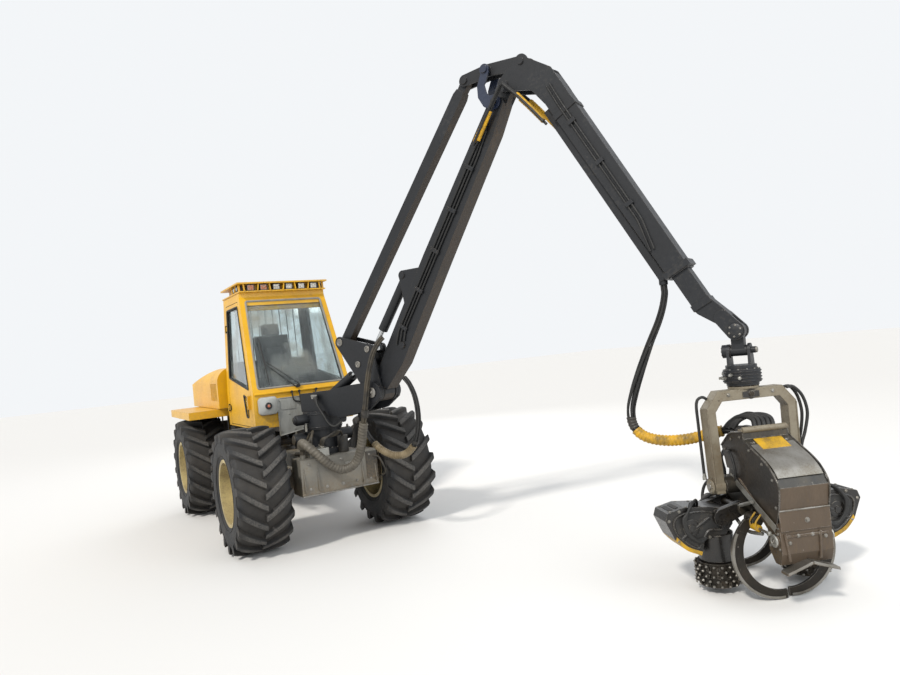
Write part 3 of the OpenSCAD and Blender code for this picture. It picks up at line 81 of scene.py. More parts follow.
def at(length, angle):
    """Point at a length and an angle, in the side view of the crane."""
    a = radians(angle)
    return vec(length * cos(a), length * sin(a))


def along(angle, forward, left):
    return at(forward, angle) + at(left, angle + 90)


MACHINE = Matrix.Identity(4)
CRANE = shift(SLEW_X) @ turn(SLEW_AT, "Z")
# Crane pins: distance from the slew axis and height
MAIN_PIN = vec(930, 1590)
LIFT_BASE = vec(150, 1560)
BOOM_LEAN = 55.3
STICK_LEAN = 62
BOOM_LEN = 3227
STICK_PIN = MAIN_PIN + at(BOOM_LEN, BOOM_LEAN)
TIE_LOW = MAIN_PIN + at(701, 128.5)
LIFT_EYE = MAIN_PIN + at(360, 124)
REACH_EYE = MAIN_PIN + at(452, 97)
STICK_START, STICK_OUT, STICK_BOX, EXT_SHOW = 260, 293, 2026, 597
TIP_PIN = STICK_PIN + along(-STICK_LEAN, STICK_START + STICK_BOX + EXT_SHOW, STICK_OUT + 90)
TIP = CRANE @ shift(TIP_PIN.x)
HEAD = TIP @ turn(HEAD_TURN, "Z")


def at_pin(pin, angle):
    """Frame of a crane link: +X along the link, +Z to its left in the side view."""
    return CRANE @ shift(pin.x, 0, pin.y) @ turn(-angle, "Y")


BOOM = at_pin(MAIN_PIN, BOOM_LEAN)
STICK = at_pin(STICK_PIN, -STICK_LEAN)


# ---- Shapes ----
def smooth_path(points, step=12):
    """Points every step millimetres or so along a smooth curve through the given ones."""
    points = [Vector(p) for p in points]
    out = []
    for i in range(len(points) - 1):
        a, b = points[max(i - 1, 0)], points[i]
        c, d = points[i + 1], points[min(i + 2, len(points) - 1)]
        n = max(2, round((c - b).length / step))
        for k in range(n):
            t = k / n
            out.append(0.5 * (2 * b + (c - a) * t + (2 * a - 5 * b + 4 * c - d) * t * t + (3 * b - a - 3 * c
                + d) * t ** 3))
    return out + [points[-1]]


def path_length(path):
    return sum((b - a).length for a, b in zip(path, path[1:]))


def frames_on(path):
    """Tangent, side and up at each point of a path, carried along without twist."""
    out = []
    side = None
    for i in range(len(path)):
        tangent = (path[min(i + 1, len(path) - 1)] - path[max(i - 1, 0)]).normalized()
        if side is None:
            side = tangent.orthogonal().normalized()
        side = (side - tangent * side.dot(tangent)).normalized()
        out.append((tangent, side, tangent.cross(side)))
    return out


class Shape:
    """Collects simple solids in millimetres in one frame and makes one piece of them."""

    def __init__(self, place=MACHINE):
        self.place = place
        self.points = []
        self.faces = []
        self.slots = []

    def add(self, points, faces, mat=0):
        base = len(self.points)
        self.points += [Vector(p) for p in points]
        self.faces += [tuple(base + i for i in f) for f in faces]
        self.slots += [mat] * len(faces)
        return self

    def loft(self, rings, mat=0, caps=True):
        """Joins rings of equal length, each a list of points."""
        n = len(rings[0])
        m = len(rings)
        faces = []
        for i in range(m - 1):
            for k in range(n):
                l = (k + 1) % n
                faces.append((i * n + k, i * n + l, i * n + n + l, i * n + n + k))
        if caps:
            faces.append(tuple(reversed(range(n))))
            faces.append(tuple((m - 1) * n + k for k in range(n)))
        return self.add([p for ring in rings for p in ring], faces, mat)

    def prism(self, outline, axis, low, high, mat=0):
        """An outline in the two other axes, in their order, between low and high on axis."""
        i = "xyz".index(axis)
        rings = [[list(p[:i]) + [d] + list(p[i:]) for p in outline] for d in (low, high)]
        area = sum(a[0] * b[1] - b[0] * a[1] for a, b in zip(outline, outline[1:] + outline[:1]))
        if (area > 0) == (axis == "y"):
            rings.reverse()
        return self.loft(rings, mat)

    def box(self, x, y, z, mat=0):
        """A box from pairs of low and high."""
        return self.prism([(x[0], y[0]), (x[1], y[0]), (x[1], y[1]), (x[0], y[1])], "z", z[0], z[1], mat)

    def pad(self, x, y, z, r, mat=0, steps=4):
        """A box with rounded upright edges and a softened top and bottom."""
        def ring(inset, height):
            out = []
            for cx, cy, a0 in ((x[1] - r, y[1] - r, 0), (x[0] + r, y[1] - r, 90), (x[0] + r, y[0] + r, 180),
                (x[1] - r, y[0] + r, 270)):
                for k in range(steps + 1):
                    a = radians(a0 + 90 * k / steps)
                    out.append((cx + (r - inset) * cos(a), cy + (r - inset) * sin(a), height))
            return out
        e = min(r * 0.5, (z[1] - z[0]) * 0.3)
        return self.loft([ring(e, z[0]), ring(e * 0.3, z[0] + e * 0.3), ring(0, z[0] + e), ring(0, z[1] - e),
            ring(e * 0.3, z[1] - e * 0.3), ring(e, z[1])], mat)

    def lathe(self, start, end, profile, sides=24, mat=0, caps=True):
        """Turns pairs of distance along the axis and radius about the line from start to end."""
        start, end = Vector(start), Vector(end)
        axis = (end - start).normalized()
        side = axis.orthogonal().normalized()
        up = axis.cross(side)
        rings = []
        for d, r in profile:
            turns = [2 * pi * k / sides for k in range(sides)]
            rings.append([start + axis * d + (side * cos(a) + up * sin(a)) * r for a in turns])
        return self.loft(rings, mat, caps)

    def rod(self, start, end, r, sides=16, mat=0):
        return self.lathe(start, end, [(0, r), ((Vector(end) - Vector(start)).length, r)], sides, mat)

    def drum(self, start, end, r, edge=4, sides=32, mat=0):
        """A rod with turned edges."""
        d = (Vector(end) - Vector(start)).length
        return self.lathe(start, end, [(0, r - edge), (edge * 0.3, r - edge * 0.3), (edge, r), (d - edge, r),
            (d - edge * 0.3, r - edge * 0.3), (d, r - edge)], sides, mat)

    def bolt(self, at_point, axis, r=11, h=9, mat=0):
        """A hexagon head on its washer."""
        start = Vector(at_point)
        end = start + Vector(axis)
        self.lathe(start, end, [(0, r * 1.3), (2.5, r * 1.3)], 16, mat)
        return self.lathe(start, end, [(2, r), (h - 1.5, r), (h, r * 0.82)], 6, mat)

    def bolt_ring(self, centre, axis, ring, count, r, h, first=0):
        """Bolts on a circle, from the first angle on; axis is the one that the circle is square to."""
        i, j = (k for k in range(3) if not axis[k])
        for k in range(count):
            a = radians(first + 360 // count * k)
            point = Vector(centre)
            point[i] += ring * cos(a)
            point[j] += ring * sin(a)
            self.bolt(point, axis, r, h, 1)

    def fitting(self, start, end, foot, r, step, length, mat=1):
        """A hexagon foot with a hose's end on it."""
        return self.lathe(start, end, [(0, foot), (step, foot), (step, r), (length, r)], 6, mat)

    def tube(self, path, r, sides=10, mat=0, swell=None):
        """A tube along points; swell gives the radius from the distance run and the turn round the tube."""
        rings = []
        run = 0
        for i, (p, (_, side, up)) in enumerate(zip(path, frames_on(path))):
            run += (p - path[max(i - 1, 0)]).length
            ring = []
            for k in range(sides):
                a = 2 * pi * k / sides
                ring.append(p + (side * cos(a) + up * sin(a)) * (swell(run, a) if swell else r))
            rings.append(ring)
        return self.loft(rings, mat)

    def hose(self, points, r, sides=10, mat=0, step=14):
        return self.tube(smooth_path(points, step), r, sides, mat)

    def bent(self, points, r, sides=8, mat=0, bend=40):
        """A hard tube: straight runs with short round bends."""
        points = [Vector(p) for p in points]
        path = [points[0]]
        for a, b, c in zip(points, points[1:], points[2:]):
            u, v = (a - b).normalized(), (c - b).normalized()
            d = min(bend, (a - b).length / 2.2, (c - b).length / 2.2)
            for k in range(6):
                t = k / 5
                path.append((b + u * d) * (1 - t) ** 2 + b * 2 * t * (1 - t) + (b + v * d) * t * t)
        return self.tube(path + [points[-1]], r, sides, mat)

    def done(self, name, body, slot, *materials, bevel=0.0, smooth=38, origin=None):
        centre = Vector(origin) if origin else vec(0, 0, 0)
        mesh = bpy.data.meshes.new(name)
        mesh.from_pydata([(self.place @ p - centre) * 0.001 for p in self.points], [], self.faces)
        mesh.polygons.foreach_set("material_index", self.slots)
        for m in materials:
            mesh.materials.append(m)
        mesh.shade_smooth()
        mesh.set_sharp_from_angle(angle=radians(smooth))
        piece = bpy.data.objects.new(name, mesh)
        piece.location = centre * 0.001
        show(piece)
        if bevel:
            edge = piece.modifiers.new("edge", "BEVEL")
            edge.width = bevel * 0.001
            edge.segments = 2
            edge.limit_method = "ANGLE"
            edge.angle_limit = radians(40)
        if body:
            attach(piece, body)
        return piece


# ---- Camera at the photograph's place ----
CAMERA_AT = (7.484, -2.563, 1.95)
CAMERA_TURN = (59.5, 1.0, -5.7)
LENS = 27.12


def add_camera():
    """Looks ahead by the yaw, up by the pitch, and leans by the roll."""
    yaw, pitch, roll = (radians(a) for a in CAMERA_TURN)
    right = vec(cos(yaw), sin(yaw), 0)
    ahead = vec(-sin(yaw), cos(yaw), 0)
    z = vec(0, 0, 1)
    look = ahead * cos(pitch) + z * sin(pitch)
    up = z * cos(pitch) - ahead * sin(pitch)
    r2 = right * cos(roll) + up * sin(roll)
    u2 = up * cos(roll) - right * sin(roll)
    data = bpy.data.cameras.new("camera")
    data.lens = LENS
    data.sensor_width = 36
    data.clip_end = 200
    camera = bpy.data.objects.new("camera", data)
    turned = Matrix((r2, u2, -look)).transposed().to_4x4()
    camera.matrix_world = Matrix.Translation(CAMERA_AT) @ turned
    show(camera)
    bpy.context.scene.camera = camera


add_camera()


# ---- Materials ----
def rgb(text):
    """A linear colour from a written one."""
    out = []
    for i in (1, 3, 5):
        c = int(text[i:i + 2], 16) / 255
        out.append(c / 12.92 if c <= 0.04045 else ((c + 0.055) / 1.055) ** 2.4)
    return (*out, 1.0)


class Finish:
    """Builds the nodes of one material."""

    def __init__(self, name):
        self.material = bpy.data.materials.new(name)
        self.material.use_nodes = True
        self.tree = self.material.node_tree
        self.shader = next(n for n in self.tree.nodes if n.type == "BSDF_PRINCIPLED")
        self.where = self.node("ShaderNodeTexCoord").outputs["Object"]

    def node(self, kind, **values):
        made = self.tree.nodes.new(kind)
        for key, value in values.items():
            setattr(made, key, value)
        return made

    def put(self, socket, value):
        if isinstance(value, bpy.types.NodeSocket):
            self.tree.links.new(value, socket)
        else:
            socket.default_value = value

    def set(self, name, value):
        self.put(self.shader.inputs[name], value)

    def scaled(self, scale, stretch=(1, 1, 1)):
        mapping = self.node("ShaderNodeMapping")
        self.put(mapping.inputs["Vector"], self.where)
        mapping.inputs["Scale"].default_value = [scale * s for s in stretch]
        return mapping.outputs[0]

    def noise(self, scale, detail=4.0, rough=0.6, stretch=(1, 1, 1)):
        made = self.node("ShaderNodeTexNoise")
        self.put(made.inputs["Vector"], self.scaled(scale, stretch))
        made.inputs["Scale"].default_value = 1
        made.inputs["Detail"].default_value = detail
        made.inputs["Roughness"].default_value = rough
        return made.outputs["Fac"]

    def span(self, value, low, high, to_low=0.0, to_high=1.0):
        made = self.node("ShaderNodeMapRange")
        self.put(made.inputs["Value"], value)
        for key, number in zip(("From Min", "From Max", "To Min", "To Max"), (low, high, to_low, to_high)):
            self.put(made.inputs[key], number)
        return made.outputs[0]

    def maths(self, operation, a, b=0.0):
        made = self.node("ShaderNodeMath", operation=operation)
        self.put(made.inputs[0], a)
        self.put(made.inputs[1], b)
        return made.outputs[0]

    def times(self, a, b):
        return self.maths("MULTIPLY", a, b)

    def mix(self, share, a, b):
        made = self.node("ShaderNodeMix", data_type="RGBA")
        self.put(made.inputs[0], share)
        self.put(made.inputs[6], a)
        self.put(made.inputs[7], b)
        return made.outputs[2]

    def part_of(self, axis):
        made = self.node("ShaderNodeSeparateXYZ")
        self.put(made.inputs[0], self.where)
        return made.outputs["XYZ".index(axis)]

    def edges(self, width, low=0.02, high=0.12):
        """1 along the outer edges of a shape."""
        rounded = self.node("ShaderNodeBevel", samples=4)
        rounded.inputs["Radius"].default_value = width
        dot = self.node("ShaderNodeVectorMath", operation="DOT_PRODUCT")
        self.put(dot.inputs[0], rounded.outputs[0])
        self.put(dot.inputs[1], self.node("ShaderNodeNewGeometry").outputs["Normal"])
        return self.span(self.maths("SUBTRACT", 1.0, dot.outputs["Value"]), low, high)

    def relief(self, height, strength, distance=0.004, soften=0.0):
        bump = self.node("ShaderNodeBump")
        bump.inputs["Strength"].default_value = strength
        bump.inputs["Distance"].default_value = distance
        self.put(bump.inputs["Height"], height)
        if soften:
            rounded = self.node("ShaderNodeBevel", samples=4)
            rounded.inputs["Radius"].default_value = soften
            self.put(bump.inputs["Normal"], rounded.outputs[0])
        self.set("Normal", bump.outputs[0])


def worn(name, colours, rough, metal=0.0, dusty=0.5, low=None, chipped=0.62, edge=0.0, size=3.0, relief=0.12,
         coat=0.0, soften=0.0, streak=(1, 1, 1)):
    """Paint or metal with patches of a second tone, a film of dust, bare chips and worn edges.

    colours are base, second tone, dust and, where it chips, what shows below. dusty is the share of dust, low
    the heights in metres between which mud thins out.
    """
    base, second, dust, chips = (colours.split() + [None])[:4]
    f = Finish(name)
    broad = f.noise(size, 5, 0.62, streak)
    fine = f.noise(size * 16, 4, 0.6, streak)
    colour = f.mix(f.span(broad, 0.38, 0.64), rgb(base), rgb(second))
    film = f.maths("ADD", f.times(broad, 0.55), f.times(fine, 0.45))
    film = f.span(film, 0.66 - 0.3 * dusty, 0.86 - 0.3 * dusty, 0.0, min(1.0, 0.35 + 0.6 * dusty))
    if low:
        mud = f.span(f.part_of("Z"), low[0], low[1], 0.9, 0.0)
        film = f.maths("MAXIMUM", film, f.times(mud, f.span(fine, 0.3, 0.6)))
    colour = f.mix(film, colour, rgb(dust))
    gloss = f.span(fine, 0.3, 0.7, rough[0], rough[1])
    gloss = f.maths("MAXIMUM", gloss, f.times(film, 0.85))
    if chips:
        mask = f.span(f.noise(size * 9, 6, 0.7), chipped, chipped + 0.03)
        if edge:
            rub = f.times(f.edges(edge), f.span(f.noise(size * 5, 4, 0.7), 0.42, 0.56))
            mask = f.maths("MAXIMUM", mask, rub)
        colour = f.mix(mask, colour, rgb(chips))
        gloss = f.maths("MAXIMUM", f.times(mask, 0.45), f.times(gloss,
            f.maths("SUBTRACT", 1.0, mask)))
    f.set("Base Color", colour)
    f.set("Roughness", gloss)
    f.set("Metallic", metal)
    if coat:
        f.set("Coat Weight", coat)
        f.set("Coat Roughness", 0.25)
    if relief or soften:
        f.relief(f.maths("ADD", fine, f.times(film, 0.6)), relief, 0.002, soften)
    return f.material


def rubber():
    """Tyre: dark grey, earth in the grooves, pale dust on the lugs; centred on the wheel."""
    f = Finish("tyre_rubber")
    x, z = f.part_of("X"), f.part_of("Z")
    radius = f.maths("SQRT", f.maths("ADD", f.times(x, x), f.times(z, z)))
    broad = f.noise(5, 5, 0.62)
    fine = f.noise(60, 5, 0.65)
    colour = f.mix(f.span(broad, 0.35, 0.65), rgb("#1e1f21"), rgb("#2a2a2a"))
    earth = f.span(f.maths("ADD", f.times(broad, 0.5), f.times(fine, 0.5)), 0.46, 0.68)
    tread = f.span(radius, 0.40, 0.62, 0.25, 0.6)
    colour = f.mix(f.times(f.times(earth, tread), 0.55), colour, rgb("#5c544a"))
    groove = f.times(f.span(radius, 0.598, 0.612, 0.0, 1.0), f.span(radius, 0.62, 0.635, 1.0, 0.0))
    colour = f.mix(f.times(groove, 0.45), colour, rgb("#37322c"))
    top = f.times(f.span(radius, 0.648, 0.662), f.span(fine, 0.3, 0.62))
    colour = f.mix(f.times(top, 0.42), colour, rgb("#77736d"))
    f.set("Base Color", colour)
    f.set("Roughness", f.span(fine, 0.3, 0.7, 0.62, 0.9))
    f.relief(f.maths("ADD", fine, f.times(broad, 0.5)), 0.35, 0.003)
    return f.material


def glass():
    """Window with a thin film of dust."""
    f = Finish("window_glass")
    film = f.span(f.noise(2.2, 5, 0.65), 0.46, 0.75)
    f.set("Base Color", f.mix(film, rgb("#dfe9ea"), rgb("#b9b8ac")))
    f.set("Roughness", f.span(film, 0.0, 1.0, 0.02, 0.18))
    f.set("Transmission Weight", f.span(film, 0.0, 1.0, 0.96, 0.72))
    f.set("IOR", 1.35)
    return f.material


def lens(name, tint):
    """Moulded lamp lens with upright flutes."""
    f = Finish(name)
    wave = f.node("ShaderNodeTexWave", wave_type="BANDS")
    wave.bands_direction = "Y"
    f.put(wave.inputs["Vector"], f.scaled(90))
    f.set("Base Color", f.mix(f.span(f.noise(40), 0.4, 0.7), rgb(tint), rgb("#a09a88")))
    f.set("Roughness", 0.12)
    f.set("Coat Weight", 0.6)
    f.relief(wave.outputs["Fac"], 0.4, 0.002)
    return f.material


def fabric():
    """Woven seat cover."""
    f = Finish("seat_fabric")
    warp = f.node("ShaderNodeTexWave", wave_type="BANDS")
    weft = f.node("ShaderNodeTexWave", wave_type="BANDS")
    warp.bands_direction = "X"
    weft.bands_direction = "Y"
    for wave in (warp, weft):
        f.put(wave.inputs["Vector"], f.scaled(260))
        wave.inputs["Distortion"].default_value = 1.5
    cloth = f.times(warp.outputs["Fac"], weft.outputs["Fac"])
    tone = f.mix(f.span(f.noise(14), 0.4, 0.65), rgb("#2a2b2e"), rgb("#3a3a3b"))
    f.set("Base Color", f.mix(cloth, tone, rgb("#4a4a4c")))
    f.set("Roughness", 0.92)
    f.set("Sheen Weight", 0.25)
    f.relief(cloth, 0.4, 0.0015)
    return f.material


def hose_cover(name, base, second, rough=0.6):
    """Rubber of a hose, or of the guard round a bundle."""
    f = Finish(name)
    fine = f.noise(90, 4, 0.6)
    f.set("Base Color", f.mix(f.span(f.noise(9, 4, 0.6), 0.4, 0.68), rgb(base), rgb(second)))
    f.set("Roughness", f.span(fine, 0.3, 0.7, rough - 0.12, rough + 0.2))
    f.relief(fine, 0.3, 0.001)
    return f.material


MUD = "#6f604a"
yellow = worn("yellow_paint", "#dea902 #cf9a03 #8d7a55 #5b4a33", (0.3, 0.5), dusty=0.32, low=(0.9, 1.6),
    chipped=0.74, edge=0.004, size=2.4, relief=0.06, coat=0.1, soften=0.006)
roof_yellow = worn("roof_paint", "#dba506 #c99708 #8f7f60 #4c4234", (0.35, 0.55), dusty=0.5, chipped=0.75,
    edge=0.004, size=2.6, relief=0.08, coat=0.15, soften=0.006)
cream = worn("rim_paint", f"#b8a877 #a3946a {MUD} #4a4338", (0.45, 0.65), dusty=0.55, low=(0.2, 0.55),
    chipped=0.7, edge=0.004, size=4, relief=0.12, soften=0.003)
crane_black = worn("crane_paint", "#0a0c10 #101318 #4a453d #4b4238", (0.4, 0.6), dusty=0.28, chipped=0.73,
    edge=0.005, size=2.2, relief=0.08, soften=0.004)
crane_blue = worn("rocker_paint", "#1b2336 #202a40 #4a4740 #4b4238", (0.3, 0.5), dusty=0.25, chipped=0.74,
    edge=0.004, size=3, relief=0.08, coat=0.2, soften=0.004)
# Dark chassis paint; the dark plate over the bumper's left end in it is painted shade.
chassis_and_shade = worn("chassis_paint", f"#2a2a29 #35332f {MUD} #4c4033", (0.45, 0.7), dusty=0.5, low=(0.5, 1.0),
    chipped=0.7, size=3, relief=0.2, soften=0.004)
front_grey = worn("front_plate", f"#6a6862 #7b776d {MUD} #45392b", (0.4, 0.65), metal=0.2, dusty=0.45,
    low=(0.55, 0.8), chipped=0.68, edge=0.006, size=3.5, relief=0.2, soften=0.004)
arch_steel = worn("arch_steel", "#7b7362 #665c4b #6b5a42 #3a2a1a", (0.45, 0.7), metal=0.1, dusty=0.5,
    chipped=0.63, edge=0.006, size=5, relief=0.3, soften=0.005)
head_dark = worn("head_steel", "#2b2924 #3a342b #57492f #8a857b", (0.35, 0.6), metal=0.35, dusty=0.42,
    chipped=0.7, edge=0.006, size=5, relief=0.3, soften=0.004)
cover_steel = worn("cover_steel", "#2f2e2c #45413a #5c4f3a #98928a", (0.25, 0.5), metal=0.55, dusty=0.38,
    chipped=0.64, edge=0.008, size=4, relief=0.2, soften=0.005, streak=(1, 1, 0.35))
roller_steel = worn("roller_steel", "#24211c #35302a #4d3f2b #8f8a80", (0.4, 0.6), metal=0.6, dusty=0.5,
    chipped=0.68, edge=0.004, size=7, relief=0.3)
bare_steel = worn("worn_edge_steel", "#8d8a84 #77736b #5c4d38", (0.28, 0.5), metal=0.85, dusty=0.4, size=7,
    relief=0.15, soften=0.002)
zinc = worn("zinc_steel", "#a5a49e #8d8b84 #6a5e4a", (0.3, 0.5), metal=0.8, dusty=0.3, size=12, relief=0.1)
chrome = worn("rod_chrome", "#c9cbcc #b9bbbc #8a8274", (0.06, 0.16), metal=1.0, dusty=0.1, size=8, relief=0.02)
black_plastic = worn("lamp_plastic", "#171717 #1f1f1e #6b6252", (0.4, 0.6), dusty=0.3, size=8, relief=0.1)
# Dark rubber of seals, the wiper and the front rods; on the feed arms it is painted shade in openings and the
# bowl's hollow.
seal_rubber_and_shade = worn("seal_rubber_and_shade", "#1a1a19 #242322 #766c5a", (0.5, 0.75), dusty=0.35, size=9, relief=0.1)
pale_seal = worn("pale_seal", "#8f8d86 #7c7970 #8a7f6b", (0.6, 0.8), dusty=0.4, size=9, relief=0.1)
patch_yellow = worn("patch_paint", "#b98f12 #8f7018 #4f412c #5f5a52", (0.35, 0.55), dusty=0.6, chipped=0.62,
    edge=0.004, size=8, relief=0.15)
knife_steel = worn("knife_steel", "#1f1b16 #2e2820 #43362a #8b867d", (0.35, 0.6), metal=0.45, dusty=0.42,
    chipped=0.66, edge=0.006, size=6, relief=0.25)
arm_black = worn("arm_paint", "#121110 #1d1a17 #4a3d2c #847e74", (0.22, 0.5), metal=0.15, dusty=0.32,
    chipped=0.72, edge=0.005, size=5, relief=0.25, coat=0.3, soften=0.004)
cover_side = worn("cover_side", "#1b1917 #28231e #51432f #7d766c", (0.35, 0.6), dusty=0.36, low=(0.45, 0.75),
    chipped=0.72, edge=0.006, size=4, relief=0.2)
cover_brown = worn("cover_brown", "#57493a #463b30 #66543d #9a938a", (0.4, 0.65), metal=0.2, dusty=0.45,
    chipped=0.7, edge=0.006, size=4, relief=0.25, soften=0.004, streak=(1, 1, 0.4))
galvanised = worn("galvanised_plate", "#b2b3ae #93938d #85795f #5a4a36", (0.35, 0.6), metal=0.35, dusty=0.42,
    chipped=0.74, size=5, relief=0.1, streak=(1, 1, 0.3))
# Dark lining for the cab's inner faces; under and inside the rear fenders it is painted shade.
lining_and_shade = worn("cab_lining_and_shade", "#17181a #1f2022 #5b5548", (0.6, 0.8), dusty=0.25, size=6, relief=0.15)
under_brown = worn("crane_under", "#33291f #211c18 #5a4a36 #6b5a45", (0.45, 0.7), dusty=0.5, chipped=0.7,
    size=3, relief=0.15)
red_lens = lens("orange_reflector", "#d4561a")
tyre_rubber = rubber()
window = glass()
clear_lens = lens("clear_lens", "#e9e7dd")
amber_lens = lens("amber_lens", "#c2620c")
seat_cloth = fabric()
hose_black = hose_cover("hose_rubber", "#161616", "#242321")
hose_dusty = hose_cover("hose_dusty", "#2b2823", "#4a4234")
guard_grey = hose_cover("guard_grey", "#4a453c", "#655f54", rough=0.5)
guard_brown = hose_cover("guard_brown", "#5d5038", "#82745a", rough=0.55)
guard_yellow = hose_cover("guard_yellow", "#cf9d0e", "#6f5b2c", rough=0.5)
guard_black = hose_cover("guard_black", "#1a1917", "#37322b", rough=0.5)


# ---- Free hoses, on the routes of their solids ----
FRONT_PATH = [(430, -350, 990.3), (430, -350, 1015), (430, -350, 1040), (452, -362, 1088), (505, -372, 1122),
    (570, -366, 1116), (630, -320, 1060), (655, -225, 955), (665, -115, 850), (680, -10, 805), (720, 85, 835),
    (780, 135, 925), (850, 148, 1050), (920, 150, 1200), (985, 158, 1360), (1035, 168, 1520), (1075, 182, 1680),
    (1115, 205, 1840), (1155, 240, 1985), (1205, 290, 2090), (1240, 330, 2140)]
BOOM_PATH = [(600, 0, 1334.7), (600, 0, 1305), (600, 0, 1275), (640, 0, 1170), (730, 0, 1050), (860, 0, 960),
    (1010, 0, 915), (1160, 0, 935), (1280, 0, 1030), (1345, 0, 1180), (1365, 0, 1350), (1345, 0, 1510), (1290,
    0, 1640), (1230, 0, 1712)]
STICK_PATH = [(3950, 0, 2289.7), (3950, 0, 2255), (3950, 0, 2220), (3925, 0, 2120), (3877, 0, 2000), (3790, 0,
    1830), (3695, 0, 1631), (3615, 0, 1440), (3575, 0, 1300), (3590, 0, 1175), (3672, 0, 1092), (3820, 0, 1058),
    (4000, 0, 1066), (4180, 0, 1106), (4290, 0, 1132), (4330, 0, 1134), (4350, 0, 1134), (4371.7, 0, 1134)]


def strands(path, count, spread, twist, loose=0.0, first=0.0):
    """Paths of hoses laid round a middle path; loose opens the bundle out in the middle of its run."""
    frames = frames_on(path)
    out = []
    for s in range(count):
        strand = []
        for i, (p, (_, side, up)) in enumerate(zip(path, frames)):
            t = i / (len(path) - 1)
            a = 2 * pi * (s / count + first) + twist * t
            r = spread * (1 + loose * sin(pi * t) ** 2 * (0.6 + 0.4 * sin(3 * s + 5 * t)))
            strand.append(p + (side * cos(a) + up * sin(a)) * r)
        out.append(strand)
    return out


def lay_cords(name, body, place, points, node, count, r, spread, twist, loose, material, sleeves, to=None):
    """One cord to each hose of a bundle, with sleeves round the bundle's middle; the first stands for the CAD
    hose, which is hidden.

    A sleeve is given by where it starts and ends as shares of the run, its radius, the pitch of its ribs and
    its material.
    """
    path = smooth_path(points, 16)
    covers = []
    total = path_length(path)
    for k, (a, b, sleeve_r, pitch, cover) in enumerate(sleeves):
        run = 0
        part = []
        for i, p in enumerate(path):
            run += (p - path[max(i - 1, 0)]).length
            if a * total <= run <= b * total:
                part.append(p)
        fine = smooth_path(part, 4)
        wrap = Shape(place)
        wrap.tube(fine, sleeve_r, 20, swell=lambda d, turn_at, s=sleeve_r, q=pitch: s * (1 + 0.1 * max(0.0,
            sin(2 * pi * d / q + turn_at)) ** 0.5 - 0.04))
        covers.append(wrap.done(f"{name}_sleeve_{k + 1}", None if to else body, "hose_rubber", cover,
            smooth=60))
    for k, strand in enumerate(strands(path, count, spread, twist, loose)):
        hose = Shape(place).tube(strand, r, 10)
        hose = hose.done(f"{name}_{k + 1}", None if to else body, "hose_rubber", material, smooth=60)
        if k == 0:
            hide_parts(node)
        if to:
            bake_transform(hose)
    for cover in covers:
        if to:
            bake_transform(cover)


lay_cords("front_hose", "front_unit", MACHINE, FRONT_PATH, "hose_front", 5, 11, 17, 2.4, 0.2, hose_dusty,
    [(0.03, 0.6, 46, 35, guard_grey), (0.62, 0.66, 37, 60, guard_black)], to="mast")
lay_cords("boom_hose", "mast", CRANE, BOOM_PATH, "hose_boom", 5, 10, 17, 1.6, 0.35, hose_black, [(0.2, 0.56, 37,
    30, guard_brown), (0.565, 0.6, 34, 60, guard_black)], to="crank")
lay_cords("stick_hose", "stick", CRANE, STICK_PATH, "hose_stick", 5, 10.5, 17, 2.0, 0.7, hose_black, [(0.6,
    0.955, 42, 30, guard_yellow), (0.55, 0.6, 38, 26, guard_black)])


# ---- CAD nodes that keep their shape ----
def finish_node(node, *materials):
    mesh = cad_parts[node].data
    mesh.materials.clear()
    for m in materials:
        mesh.materials.append(m)


for nodes, material in (("rear_frame rear_plate rear_axle front_axle engine_block fuel_tank", chassis_and_shade),
    ("cab_shell cab_door hood rear_fenders", yellow), ("cab_roof", roof_yellow), ("front_frame", front_grey),
    ("exhaust", arch_steel), ("rim_fl rim_fr rim_rl rim_rr", cream),
    ("crane_pedestal mast crank boom tie_bar stick coupler extension tip_link rotator", crane_black), ("rocker",
    crane_blue), ("steer_barrel_l steer_barrel_r lift_barrel reach_barrel", crane_black),
    ("steer_rod_l steer_rod_r lift_rod reach_rod", chrome), ("cab_glass door_glass", window), ("work_lamps",
    black_plastic), ("operator_seat", seat_cloth), ("head_hanger", arch_steel), ("head_frame", head_dark),
    ("feed_arm_l feed_arm_r", arm_black), ("head_cover", cover_steel), ("saw_bar", bare_steel),
    ("feed_roller_l feed_roller_r", roller_steel), ("knife_rear_l knife_rear_r knife_front_l knife_front_r",
    knife_steel), ("tyre_fl tyre_fr tyre_rl tyre_rr", tyre_rubber), ("hose_front hose_boom hose_stick",
    hose_black)):
    for node in nodes.split():
        finish_node(node, material)


def paint_faces(nodes, material, place, test):
    """Gives a second material to the faces whose centre and normal, in millimetres in a frame, pass a test."""
    bpy.context.view_layer.update()
    for node in nodes.split():
        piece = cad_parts[node]
        to_frame = place.inverted() @ Matrix.Diagonal((1000, 1000, 1000, 1)) @ piece.matrix_world
        turned = to_frame.to_3x3()
        piece.data.materials.append(material)
        for face in piece.data.polygons:
            if test(to_frame @ face.center, (turned @ face.normal).normalized()):
                face.material_index = len(piece.data.materials) - 1


CAB_MIDDLE = vec(-1100, 0, 2100)
paint_faces("cab_shell cab_door", lining_and_shade, MACHINE, lambda p, n: n.dot(p - CAB_MIDDLE) < -1)
paint_faces("boom tie_bar", under_brown, CRANE, lambda p, n: n.z < -0.3)
# Undersides and inner walls of the rear fenders: painted shade, in the dark lining.
paint_faces("rear_fenders", lining_and_shade, MACHINE,
    lambda p, n: n.z < -0.2 or (abs(n.x) < 0.3 and abs(n.y) > 0.9 and abs(p.y) < 640))
paint_faces("head_cover", cover_side, HEAD, lambda p, n: abs(n.y) > 0.9)
paint_faces("head_cover", cover_brown, HEAD, lambda p, n: n.x > 0.5 and p.z < 860)


# ---- Wheels ----
LUGS = 18
LUG_SWEEP = -19


